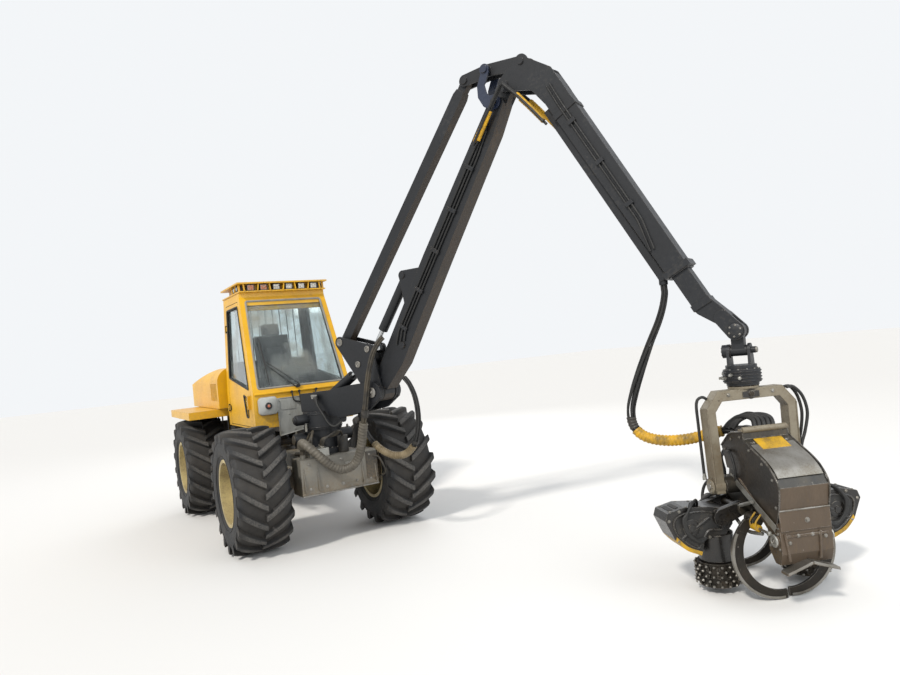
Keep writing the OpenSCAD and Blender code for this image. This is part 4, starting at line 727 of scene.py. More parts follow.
def lug_rings(turned):
    """Sections of one lug from the middle of the tread out over the shoulder."""
    rings = []
    for i in range(15):
        t = i / 14
        y = -8 + t * 288
        a = radians(turned + LUG_SWEEP * (t ** 1.15))
        top = TYRE_R - 4 * t - 22 * t ** 6
        foot = LUG_FOOT - 60 * max(0.0, t - 0.6) / 0.4
        half = 29 + 6 * t
        base = half + 7 + 4 * t
        ring = []
        for x, z in ((-base, foot), (-half - 3, top - 20), (-half, top - 8), (-half + 9, top - 1), (0, top),
            (half - 9, top - 1), (half, top - 8), (half + 3, top - 20), (base, foot)):
            ring.append((x * cos(a) + z * sin(a), y, z * cos(a) - x * sin(a)))
        rings.append(ring)
    return rings


def on_wheel(r, y, a):
    """Point of a wheel at a radius, a distance out along the axle and a turn from the top."""
    return vec(r * sin(a), y, r * cos(a))


def wheel_ring(r, y, count=96):
    return [on_wheel(r, y, 2 * pi * k / count) for k in range(count + 1)]


def wheel_shape(x, side):
    centre = vec(x, side * TRACK / 2, TYRE_R)
    return centre, Shape(Matrix.Translation(centre) @ Matrix.Diagonal((1, side, 1, 1)))


def add_tyre(where, x, side):
    centre, shape = wheel_shape(x, side)
    profile = [(236, 341), (246, 346), (250, 362), (258, 372), (262, 384), (266, 388), (272, 412), (277, 440),
        (279, 470), (280, 500), (277, 530), (271, 556), (262, 580), (246, 598), (222, 606), (150, 610), (60,
        613), (0, 614)]
    profile = profile + [(-a, b) for a, b in reversed(profile[:-1])]
    shape.loft([[on_wheel(r, y, 2 * pi * k / 96) for y, r in profile] for k in range(97)], caps=False)
    for i in range(LUGS):
        shape.loft(lug_rings(i * 360 / LUGS))
        shape.loft([[(p[0], -p[1], p[2]) for p in ring] for ring in lug_rings((i + 0.5) * 360 / LUGS)])
    # Raised rings, and ribs between the flank and the shoulder
    for s in (1, -1):
        for r, y, w in ((400, 271, 5), (545, 276, 4)):
            shape.tube(wheel_ring(r, s * y), w, 6)
        for k in range(48):
            a = 2 * pi * k / 48
            shape.rod(on_wheel(556, s * 268, a), on_wheel(588, s * 252, a), 5, 6)
    tyre = shape.done(f"tyre_{where}_tread", f"wheel_{where}", "tyre_rubber", tyre_rubber, origin=centre,
        smooth=32)
    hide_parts(f"tyre_{where}")


def add_hub(where, x, side):
    shape = wheel_shape(x, side)[1]
    for i in range(10):
        p = on_wheel(138, 76, 2 * pi * i / 10)
        shape.bolt(p, (0, 1, 0), 15, 22)
        shape.rod(p, p + vec(0, 30, 0), 8, 10)
    shape.lathe((0, 76, 0), (0, 200, 0), [(0, 104), (8, 106), (50, 100), (58, 92), (60, 70), (66, 66), (92, 58),
        (97, 30)], 32, 1)
    for i in range(8):
        shape.bolt(on_wheel(84, 134, 2 * pi * (i + 0.5) / 8), (0, 1, 0), 7, 8)
    for r, y, w in ((338, 238, 7), (352, 226, 4), (300, 66, 4)):
        shape.tube(wheel_ring(r, y), w, 8, 2)
    # Weld bead of the disc and the valve
    shape.tube(wheel_ring(272, 66, 72), 5, 6, 2)
    shape.rod((0, 66, 300), (0, 96, 306), 7, 10)
    shape.done(f"hub_{where}", f"wheel_{where}", "chassis_paint", zinc, chassis_and_shade, cream, bevel=1.0)


for where, x, side in (("fl", 0, 1), ("fr", 0, -1), ("rl", -WHEELBASE, 1), ("rr", -WHEELBASE, -1)):
    add_tyre(where, x, side)
    add_hub(where, x, side)


# ---- Cab ----
FLOOR_Z, SILL_Z, SCREEN_TOP, CAB_TOP = 1250, 1670, 2830, 2890
CAB_FRONT, SCREEN_BACK, CAB_REAR = -430, -900, -1760
CAB_HALF, CAB_HALF_TOP = 600, 540


def screen_x(z):
    return CAB_FRONT + (z - SILL_Z) * (SCREEN_BACK - CAB_FRONT) / (SCREEN_TOP - SILL_Z)


def cab_half_at(z):
    return CAB_HALF if z < SILL_Z else CAB_HALF + (z - SILL_Z) * (CAB_HALF_TOP - CAB_HALF) / (CAB_TOP - SILL_Z)


def loop(shape, corners, r, mat=0, sides=8):
    """A seal round an opening, with short bends at its corners."""
    n = len(corners)
    path = []
    for i in range(n):
        a, b, c = (Vector(corners[(i + k) % n]) for k in (-1, 0, 1))
        u, v = (a - b).normalized() * 26, (c - b).normalized() * 26
        for k in range(5):
            t = k / 4
            path.append((b + u) * (1 - t) ** 2 + b * 2 * t * (1 - t) + (b + v) * t * t)
    shape.tube(path + [path[0], path[1]], r, sides, mat)


def on_screen(y, z, out=0.0):
    """Point on the windscreen, stood off outward."""
    lean = atan2(CAB_FRONT - SCREEN_BACK, SCREEN_TOP - SILL_Z)
    return vec(screen_x(z) + out * cos(lean), y, z + out * sin(lean))


def on_side(x, z, side, out=0.0):
    return vec(x, side * (cab_half_at(z) + out), z)


def cab_seals():
    low, high = SILL_Z + 40, SCREEN_TOP - 50
    wl, wh = CAB_HALF - 70, cab_half_at(SCREEN_TOP) - 70
    shape = Shape()
    loop(shape, [on_screen(-wl, low, -2), on_screen(wl, low, -2), on_screen(wh, high, -2), on_screen(-wh, high,
        -2)], 13)
    shape.done("screen_seal", "rear_unit", "lamp_plastic", pale_seal)
    shape = Shape()
    loop(shape, [(CAB_REAR, -490, 2050), (CAB_REAR, 490, 2050), (CAB_REAR, 470, 2750), (CAB_REAR, -470, 2750)],
        11)
    for k in range(9):
        y = -400 + k * 100
        shape.rod((CAB_REAR - 14, y, 2066), (CAB_REAR - 14, y * 0.97, 2736), 6, 8)
    shape.done("rear_seal", "rear_unit", "lamp_plastic", seal_rubber_and_shade)
    rear = CAB_REAR + 130 + 62
    front_low = screen_x(SILL_Z + 40) - 100 - 62
    front_high = screen_x(SCREEN_TOP - 100) - 100 - 42
    foot = CAB_FRONT - 110
    for side, body in ((1, "rear_unit"), (-1, "door")):
        shape = Shape()
        loop(shape, [on_side(rear, SILL_Z + 190, side), on_side(front_low, SILL_Z + 40, side),
            on_side(front_high, SCREEN_TOP - 100, side), on_side(rear, SCREEN_TOP - 100, side)], 11)
        loop(shape, [on_side(foot - 330, SILL_Z - 20, side), on_side(foot - 120, SILL_Z - 70, side),
            on_side(foot - 150, SILL_Z - 290, side), on_side(foot - 250, SILL_Z - 290, side)], 9)
        shape.done(f"side_seal_{hand(side)}", body, "lamp_plastic", seal_rubber_and_shade)


def wiper():
    shape = Shape()
    pivot = on_screen(-60, SILL_Z + 22, 30)
    end = on_screen(-400, SILL_Z + 330, 34)
    off = vec(0, 14, 22)
    shape.rod(pivot - vec(34, 0, 0), pivot + vec(14, 0, 0), 20, 16)
    for d in (off, -off):
        shape.rod(pivot + d, end + d * 0.5, 6, 8)
    blade_low, blade_high = on_screen(-392, SILL_Z + 70, 16), on_screen(-416, SILL_Z + 640, 16)
    shape.rod(blade_low, blade_high, 7, 6)
    a, b = on_screen(-395, SILL_Z + 150, 26), on_screen(-411, SILL_Z + 570, 26)
    shape.rod(a, b, 6, 6)
    for t in (0.0, 0.35, 0.65, 1.0):
        p = a.lerp(b, t)
        shape.rod(p, blade_low.lerp(blade_high, 0.12 + 0.76 * t), 5, 6)
    shape.done("wiper", "rear_unit", "lamp_plastic", seal_rubber_and_shade)


cab_seals()
wiper()


def roof_details():
    z0, z1 = CAB_TOP + 16, CAB_TOP + 100
    lamp_x = SCREEN_BACK + 30 + 4
    body = Shape()
    for i in range(6):
        y = (i - 2.5) * 160
        mat = 2 if i < 2 else 1
        mid = (z0 + z1) / 2 - 2
        body.prism([(y - 46, mid - 37), (y + 46, mid - 37), (y + 46, mid + 37), (y - 46, mid + 37)], "x",
            lamp_x - 2, lamp_x + 3, 0)
        for low, high, a, b in ((-46, 46, -37, -30), (-46, 46, 30, 37), (-46, -38, -30, 30), (38, 46, -30, 30)):
            body.box((lamp_x + 3, lamp_x + 13), (y + low, y + high), (mid + a, mid + b), 0)
        body.prism([(y - 38, mid - 30), (y + 38, mid - 30), (y + 38, mid + 30), (y - 38, mid + 30)], "x",
            lamp_x + 3, lamp_x + 8, mat)
        body.lathe((lamp_x + 8, y, mid), (lamp_x + 13, y, mid), [(0, 26), (2, 22), (3, 4)], 24, mat)
    for side in (1, -1):
        for x in (SCREEN_BACK - 90, SCREEN_BACK - 240):
            y = side * (CAB_HALF_TOP - 4)
            z = (z0 + z1) / 2 - 2
            body.lathe((x, y, z), (x, y + side * 12, z), [(0, 38), (8, 38), (10, 34), (8, 30), (3, 29)], 24, 0)
            body.lathe((x, y + side * 1, z), (x, y + side * 10, z), [(0, 29), (5, 28), (8, 14), (9, 2)], 20, 1)
    for y in (300, -300):
        body.lathe((CAB_REAR - 4, y, z0 + 40), (CAB_REAR - 14, y, z0 + 40), [(0, 36), (7, 36), (9, 32), (4,
            28)], 24, 0)
        body.lathe((CAB_REAR - 6, y, z0 + 40), (CAB_REAR - 14, y, z0 + 40), [(0, 28), (5, 24), (7, 4)], 20, 1)
    body.done("roof_lamp_lenses", "rear_unit", "lamp_plastic", black_plastic, clear_lens, amber_lens)
    posts = Shape()
    front = SCREEN_BACK + 60
    for i in range(7):
        y = (i - 3) * 160
        lean = 12 if i % 2 else -12
        posts.prism([(y - 7, z0 - 2), (y + 7, z0 - 2), (y + 7 + lean, z1), (y - 7 + lean, z1)], "x", front - 22,
            front + 10)
    for side in (1, -1):
        for x in (SCREEN_BACK + 10, SCREEN_BACK - 165, SCREEN_BACK - 330):
            y = side * (CAB_HALF_TOP + 6)
            posts.prism([(x - 8, z0 - 2), (x + 8, z0 - 2), (x - 2, z1), (x - 18, z1)], "y", *sorted((y,
                y - side * 26)))
    posts.done("roof_posts", "rear_unit", "yellow_paint", roof_yellow, bevel=2)


roof_details()


def seat():
    """Padded cushions over the plain seat."""
    x = CAB_REAR + 560
    shape = Shape()
    shape.pad((x - 226, x + 246), (-236, 236), (FLOOR_Z + 330, FLOOR_Z + 440), 60)
    for s in (1, -1):
        shape.pad((x - 200, x + 230), sorted((s * 175, s * 246)), (FLOOR_Z + 380, FLOOR_Z + 470), 30)
    lean = shift(x - 226, 0, FLOOR_Z + 400) @ turn(-12, "Y")
    back = Shape(lean)
    back.pad((-84, 22), (-216, 216), (20, 740), 42)
    back.pad((-60, 40), (-110, 110), (120, 560), 30)
    for s in (1, -1):
        back.pad((-40, 62), sorted((s * 150, s * 222)), (100, 620), 30)
    back.pad((-70, 26), (-120, 120), (745, 900), 40)
    cushion = shape.done("seat_cushion", "rear_unit", "seat_fabric", seat_cloth)
    rest = back.done("seat_back", "rear_unit", "seat_fabric", seat_cloth)
    hard = Shape()
    for s in (1, -1):
        y = s * 300
        hard.pad((x - 166, x + 270), (y - 54, y + 54), (FLOOR_Z + 476, FLOOR_Z + 566), 26)
        grip = vec(x + 205, y, FLOOR_Z + 560)
        hard.lathe(grip, grip + vec(18, 0, 150), [(0, 26), (12, 24), (20, 12), (60, 11), (72, 20), (110, 24),
            (138, 21), (150, 8)], 16)
        for k in range(4):
            hard.rod((x + 60 + k * 28, y - 20, FLOOR_Z + 564), (x + 60 + k * 28, y - 20, FLOOR_Z + 576), 8, 10)
    hard.bent([(x + 520, -200, FLOOR_Z + 50), (x + 500, -200, FLOOR_Z + 420), (x + 470, -60, FLOOR_Z + 560)],
        16)
    hard.pad((x + 430, x + 470), (-150, 40), (FLOOR_Z + 540, FLOOR_Z + 700), 18)
    hard.done("cab_controls", "rear_unit", "lamp_plastic", black_plastic)


seat()


def cab_front_details():
    """Headlamp pod, service panel and bent rods on the wall below the windscreen."""
    pod = Shape(shift(CAB_FRONT + 2, 0, 0) @ turn(90, "Y"))
    pod.pad((-1612, -1404), (-560, -335), (0, 58), 46, 0, 6)
    pod.lathe((-1508, -446, 57), (-1508, -446, 72), [(0, 40), (10, 40), (14, 35), (14, 31)], 32, 1)
    pod.lathe((-1508, -446, 60), (-1508, -446, 70), [(0, 31), (8, 29), (11, 16), (12, 3)], 28, 2)
    pod.done("headlamp_pod", "rear_unit", "lamp_plastic", galvanised, black_plastic, red_lens)
    panel = Shape()
    x = CAB_FRONT + 4
    panel.prism([(-328, 1140), (46, 1196), (46, 1577), (-328, 1577)], "x", x, x + 14, 0)
    for a, b in (((-328, 1577), (46, 1577)), ((46, 1196), (46, 1577)), ((-328, 1140), (-328, 1577)), ((-328,
        1140), (46, 1196))):
        panel.rod((x + 14, *a), (x + 14, *b), 6, 8, 0)
    panel.box((x + 14, x + 20), (-300, -120), (1440, 1556), 0)
    panel.box((x + 14, x + 19), (-90, 20), (1300, 1500), 0)
    for y, z in ((-306, 1552), (-306, 1190), (-140, 1552), (24, 1552), (24, 1230), (-140, 1200), (-200, 1380)):
        panel.bolt((x + 14, y, z), (1, 0, 0), 8, 7, 1)
    panel.done("service_panel", "rear_unit", "chassis_paint", galvanised, zinc, bevel=1.5)
    lip = Shape()
    lip.drum((CAB_FRONT + 6, -586, 1650), (CAB_FRONT + 6, 586, 1650), 17, 6, 20)
    lip.done("screen_lip", "rear_unit", "yellow_paint", yellow)
    rods = Shape()
    rods.bent([(-402, -150, 1640), (-392, -140, 1530), (-392, 0, 1500), (-392, 110, 1520), (-404, 150, 1640)],
        9, 10)
    rods.bent([(-402, -60, 1640), (-390, -55, 1470), (-390, 40, 1430), (-402, 90, 1300)], 8, 10)
    for y in (-150, -60, 150):
        rods.rod((-428, y, 1640), (-396, y, 1640), 15, 14)
    rods.hose([(-420, 120, 1480), (-380, 150, 1440), (-370, 200, 1340), (-390, 240, 1200), (-424, 250, 1120)],
        12, 10)
    rods.hose([(-420, 180, 1560), (-376, 210, 1500), (-366, 270, 1360), (-392, 300, 1220), (-424, 310, 1130)],
        12, 10)
    rods.done("front_rods", "rear_unit", "lamp_plastic", seal_rubber_and_shade, smooth=60)


cab_front_details()


# ---- Crane: hard tubes, pin caps, bolts ----
def pin_caps():
    shape = Shape(CRANE)
    for pin, y, r in ((LIFT_BASE, 127, 34), (MAIN_PIN, 175, 52)):
        for s in (1, -1):
            p = vec(pin.x, s * y, pin.y)
            q = p + vec(0, s * 10, 0)
            shape.lathe(p, q, [(0, r), (8, r), (10, r - 4)], 28)
            shape.bolt(q, (0, s, 0), 12, 10)
    shape.done("mast_pin_caps", "mast", "worn_edge_steel", bare_steel)
    rings = Shape(CRANE)
    for pin, r in ((TIE_LOW, 40), (LIFT_EYE, 34), (REACH_EYE, 34)):
        for s in (1, -1):
            y = s * (121 if pin is TIE_LOW else 124)
            p = vec(pin.x, y, pin.y)
            rings.lathe(p, p + vec(0, s * 9, 0), [(0, r), (5, r), (7, r - 3), (7, r - 11), (3, r - 13)], 28)
            rings.bolt(p + vec(0, s * 2, 0), (0, s, 0), 8, 6)
    rings.done("crank_pin_rings", "crank", "worn_edge_steel", bare_steel)


pin_caps()


def mast_details():
    """Slew motor, its hoses and the fittings on the mast and crank."""
    shape = Shape(CRANE)
    shape.drum((-30, -185, 1345), (-80, -325, 1340), 58, 8, 32, 0)
    shape.drum((-80, -325, 1340), (-86, -343, 1339), 42, 4, 28, 0)
    for k, x in enumerate((60, 88, 116, 144)):
        d = 8 * k
        shape.hose([(x, -178 - d, 1600), (150 + d, -200 - d, 1500), (240 + d, -205 - d, 1380), (300 + d,
            -200 - d, 1290), (370 + d, -176 - d, 1258), (420 + d, -116, 1320)], 11, 10, 2)
        shape.fitting((x, -178 - d, 1604), (x, -178 - d, 1560), 15, 12, 22, 44)
    for k in range(3):
        z = 1470 + 26 * k
        shape.hose([(150, -132, z + 30), (260, -136, z + 10), (420, -134 - 4 * k, z - 6), (560, -136, z), (640,
            -128, z + 10)], 10, 10, 2)
    for x in (250, 480):
        shape.box((x - 16, x + 16), (-148, -112), (1448, 1546), 0)
    shape.rod((-20, -235, 1210), (-20, -235, 1300), 13, 16, 3)
    shape.box((-34, -6), (-222, -190), (1290, 1304), 1)
    for x, z in ((230, 1440), (330, 1436), (430, 1430), (530, 1436)):
        for s in (1, -1):
            shape.bolt((x, s * 116, z), (0, s, 0), 10, 9, 1)
    shape.done("mast_details", "mast", "crane_paint", crane_black, zinc, hose_black, pale_seal, smooth=50)
    # Wrapped hoses up the boom and down the stick, each half on its own link, meeting at the pin
    for body, turned, points in (("boom", -1, ((-330, -470), (-190, -270), (-70, -100), (0, 0))), ("stick", 1,
        ((0, 0), (110, -120), (230, -270), (350, -430)))):
        wraps = Shape(CRANE)
        for s in (-1, 1):
            for k in range(3):
                y = s * (128 + 26 * (k % 2))
                path = smooth_path([(STICK_PIN.x + a + 16 * k * turned, y,
                    STICK_PIN.y + b - 26 * k * (1 - abs(a + b) / 800)) for a, b in points], 8)
                wraps.tube(path, 12, 10, 1)
                if k != 1:
                    n = len(path)
                    part = path[int(n * 0.1):int(n * 0.55)] if turned < 0 else path[int(n * 0.35):int(n * 0.9)]
                    wraps.tube(part, 20, 14, 0, swell=lambda d, a: 20 * (1 + 0.12 * max(0.0,
                        sin(2 * pi * d / 30 + a)) ** 0.5))
        wraps.done(f"knuckle_hoses_{body}", body, "hose_rubber", guard_yellow, hose_black, smooth=60)


mast_details()


def boom_tubes():
    """Hard tubes down both sides of the boom, with clamps."""
    for side in (-1, 1):
        y = side * 92
        shape = Shape(BOOM)
        for k in range(3):
            z = 40 - k * 34
            shape.bent([(560 + k * 40, y, z - 40), (700 + k * 30, y, z), (2560, y, z - 10), (2860 - k * 30, y,
                z * 0.4 - 6)], 8.5, 8)
        for x in (760, 1180, 1600, 2020, 2440):
            shape.box((x - 18, x + 18), (y - 12, y + 12), (-48, 60), 1)
            for z in (-38, -2, 32):
                shape.bolt((x, y + side * 12, z + 8), (0, side, 0), 5, 5, 1)
        shape.done(f"boom_tubes_{hand(side)}", "boom", "crane_paint", hose_black, crane_black, bevel=0)
    shape = Shape(STICK)
    for side in (-1, 1):
        y = side * 92
        for k in range(2):
            z = STICK_OUT - 20 + k * 34
            shape.bent([(STICK_START + 60, y, z + 10), (STICK_START + 260, y, z), (STICK_START + 1500, y,
                z - 6), (STICK_START + 1760, y, z - 60)], 8.5, 8)
        for x in (STICK_START + 460, STICK_START + 900, STICK_START + 1340):
            shape.box((x - 18, x + 18), (y - 12, y + 12), (STICK_OUT - 38, STICK_OUT + 30), 1)
    shape.done("stick_tubes", "stick", "crane_paint", hose_black, crane_black)


boom_tubes()


# ---- Head ----
COVER_HALF = 172
TILT_X, TILT_Z = 40, 760
COVER_TOP = [(-90, 1030), (54, 1140), (230, 1165)]
COVER_BEND = [(236, 1110), (330, 1064), (490, 990), (576, 926), (630, 836), (604, 690), (566, 596)]
ARCH_TOP, ARCH_HALF = 1450, 345
ROTATOR_LOW = ARCH_TOP + 22


def cover_details():
    # Rolled edges of the side plates and bolts along the bent sheet
    shape = Shape(HEAD)
    for s in (1, -1):
        y = s * (COVER_HALF + 2)
        edge = smooth_path([(x, y, z) for x, z in COVER_BEND], 18)
        shape.tube(edge, 6, 8)
        shape.bent([(x, y, z) for x, z in COVER_TOP], 6)
        for x, z in ((-40, 1010), (60, 1092), (190, 1120), (300, 1040), (450, 968), (560, 880), (572, 700)):
            shape.bolt((x, s * COVER_HALF, z), (0, s, 0), 9, 8, 1)
    for x, z, dx, dz in ((283, 1087, 0.45, 0.9), (410, 1027, 0.42, 0.91), (533, 958, 0.6, 0.8)):
        for y in (-120, -40, 40, 120):
            shape.bolt((x, y, z), (dx, 0, dz), 8, 6, 1)
    shape.box((188, 236), (-COVER_HALF - 6, COVER_HALF + 6), (1163, 1180), 2)
    shape.done("cover_trim", "head", "head_steel", cover_steel, bare_steel, arch_steel)
    # Polished strip down the bent sheet, with a yellow patch on its upper half
    skin = Shape(HEAD)
    path = smooth_path([(x + 1.5, 0, z + 2) for x, z in COVER_BEND[:6]], 22)
    for mat, part, half, lift in ((0, path[4:-10], 158, 2), (1, path[1:8], 104, 4)):
        rings = []
        for p, (t, _, _) in zip(part, frames_on(part)):
            n = vec(t.z, 0, -t.x)
            if n.x < 0:
                n = -n
            q = p + n * lift
            inner = q - n * 5
            rings.append([(q.x, -half, q.z), (q.x, half, q.z), (inner.x, half, inner.z), (inner.x, -half,
                inner.z)])
        skin.loft(rings, mat)
    skin.done("cover_skin", "head", "worn_edge_steel", bare_steel, patch_yellow, bevel=1)
    # Strut, its boss and the small cylinder on each side
    strut = Shape(HEAD)
    for s in (1, -1):
        y = s * (COVER_HALF + 12)
        low, high = sorted((y, y + s * 4))
        a, b = vec(30, 822), vec(560, 560)
        u = (b - a).normalized()
        n = vec(-u.y, u.x)
        strut.prism([tuple(a + n * 20), tuple(a - n * 20), tuple(b - n * 27), tuple(b + n * 27)], "y", low,
            high, 0)
        c = vec(545, s * (COVER_HALF + 20), 480)
        strut.lathe(c, c + vec(0, s * 12, 0), [(0, 43), (8, 43), (11, 40), (11, 26), (6, 24)], 36, 0)
        strut.bolt(c + vec(0, s * 5, 0), (0, s, 0), 14, 10, 2)
        bar = [vec(337, 0, 694), vec(78, 0, 596), vec(60, 0, 545), vec(216, 0, 470), vec(430, 0, 498)]
        loop_path = smooth_path([v + vec(0, s * (COVER_HALF + 36), 0) for v in bar], 12)
        strut.tube(loop_path, 13, 10, 0)
        p, q = vec(226, s * (COVER_HALF + 42), 530), vec(520, s * (COVER_HALF + 40), 524)
        for x in (330, 400):
            strut.bent([(x, p.y + s * 18, 526), (x + 4, p.y + s * 24, 570), (x + 44, p.y, 632)], 6, 8, 1)
        strut.drum(p, p.lerp(q, 0.62), 24, 5, 28, 1)
        strut.rod(p.lerp(q, 0.6), q, 9, 14, 2)
        strut.drum(q - vec(0, s * 12, 0), q + vec(0, s * 10, 0), 16, 3, 20, 0)
    strut.done("cover_struts", "head", "worn_edge_steel", zinc, patch_yellow, bare_steel, bevel=0.8)
    # Saw box: seam, bolts, and the polished faces of the folded guard
    box = Shape(HEAD)
    for s in (1, -1):
        y = s * (COVER_HALF + 9)
        box.rod((462, y, 566), (590, y, 566), 5, 8, 1)
        for x, z in ((470, 430), (470, 520), (580, 430), (575, 530)):
            box.bolt((x, s * (COVER_HALF + 8), z), (0, s, 0), 8, 7, 1)
        box.prism([(s * 4, 333), (s * (COVER_HALF + 6), 275), (s * (COVER_HALF + 6), 292), (s * 4, 350)], "x",
            566, 646, 1)
    box.rod((607, -176, 684), (607, 176, 684), 5, 8, 1)
    box.prism([(-176, 690), (176, 690), (176, 548), (-176, 548)], "x", 598, 606, 0)
    box.bolt((606, 12, 610), (1, 0, 0), 13, 12, 1)
    box.box((598, 604), (-150, 150), (505, 520), 0)
    for y in (-150, 96):
        box.rod((604, y, 530), (600, y * 0.86, 350), 9, 8, 0)
    for y, z in ((-120, 470), (-60, 512), (40, 512), (130, 490)):
        box.bolt((601, y, z), (1, 0, 0), 10, 9, 1)
    box.done("saw_box_trim", "head", "worn_edge_steel", cover_brown, bare_steel, bevel=1)


def saw_chain():
    shape = Shape(HEAD)
    y0, z0, reach = -92, 345, 560
    for s in (1, -1):
        for k in range(34):
            z = z0 + 8 + k * (reach - 10) / 34
            y = y0 + s * (44 - (44 - 38) * (z - z0) / reach + 3)
            shape.box((493, 501), (y - 4, y + 4), (z, z + 11))
            if k % 4 == 0:
                shape.prism([(y - 5 * s, z), (y + 9 * s, z + 6), (y + 7 * s, z + 12), (y - 5 * s, z + 12)], "x",
                    492, 500)
    for k in range(9):
        a = radians(10 + 20 * k)
        p = vec(497, y0 + 41 * cos(a), z0 + reach + 41 * sin(a))
        shape.lathe(p - vec(4, 0, 0), p + vec(4, 0, 0), [(0, 6), (8, 6)], 8)
    shape.done("saw_chain", "saw_bar", "worn_edge_steel", bare_steel)


def hanger_details():
    shape = Shape(HEAD)
    for s in (1, -1):
        c = vec(TILT_X, s * ARCH_HALF, TILT_Z)
        shape.lathe(c, c + vec(0, s * 14, 0), [(0, 55), (8, 55), (12, 51), (14, 40)], 36, 0)
        shape.bolt_ring(c + vec(0, s * 9, 0), (0, s, 0), 41, 6, 6, 7)
        shape.lathe(c + vec(0, s * 12, 0), c + vec(0, s * 22, 0), [(0, 22), (8, 20), (10, 8)], 20, 1)
        # Stiffening rods down each leg
        outer = [(s * (ARCH_HALF + 2), ARCH_TOP - 130), (s * (ARCH_HALF - 8), TILT_Z + 30)]
        for x in (TILT_X - 52, TILT_X + 52):
            shape.rod((x, outer[0][0] - s * 4, outer[0][1]), (x, outer[1][0] - s * 4, outer[1][1]), 6, 8, 0)
    shape.bolt_ring((0, 0, ARCH_TOP + 15), (0, 0, 1), 96, 10, 7, 6)
    # Ring at the middle of the beam, with a bolt on each side
    shape.lathe((TILT_X + 50, 0, ARCH_TOP - 36), (TILT_X + 58, 0, ARCH_TOP - 36), [(0, 17), (5, 17), (7, 14),
        (7, 8), (2, 7)], 24, 1)
    for y in (-170, 170):
        shape.bolt((TILT_X + 51, y, ARCH_TOP - 34), (1, 0, 0), 11, 9, 1)
    shape.done("hanger_details", "head_hanger", "head_steel", arch_steel, bare_steel)


def rotator_details():
    shape = Shape(TIP)
    z = ROTATOR_LOW
    for k in range(4):
        shape.lathe((0, 0, z + 28 + k * 23), (0, 0, z + 40 + k * 23), [(0, 131), (2, 137), (9, 137), (11, 131)],
            48, 0)
    shape.bolt_ring((0, 0, z + 118), (0, 0, 1), 118, 12, 7, 6)
    for a, zz in ((200, 60), (225, 60), (250, 84), (275, 60), (160, 84)):
        u = vec(cos(radians(a)), sin(radians(a)), 0)
        p = u * 128 + vec(0, 0, z + zz)
        shape.lathe(p, p + u, [(0, 14), (18, 14), (18, 11), (34, 11), (36, 8)], 6, 2)
    shape.done("rotator_details", "rotator", "crane_paint", crane_black, bare_steel, zinc)
    tip = Shape(TIP)
    drop = TIP_PIN.y - 150
    for k in range(8):
        a = radians(45 * k)
        tip.bolt((-118, 36 * cos(a), drop + 36 * sin(a)), (-1, 0, 0), 6, 6, 0)
    tip.lathe((116, 0, drop), (128, 0, drop), [(0, 22), (8, 22), (12, 16)], 24, 0)
    tip.done("tip_link_bolts", "tip_link", "worn_edge_steel", bare_steel)
    # Side cover of the tip's pin on the extension
    cap = Shape(TIP)
    for s in (1, -1):
        p = vec(0, s * 78, TIP_PIN.y)
        cap.lathe(p, p + vec(0, s * 12, 0), [(0, 56), (6, 56), (9, 52), (12, 20)], 36, 0)
        cap.bolt_ring(p + vec(0, s * 8, 0), (0, s, 0), 42, 6, 6, 6, 20)
    cap.done("tip_pin_caps", "extension", "crane_paint", crane_black, bare_steel)


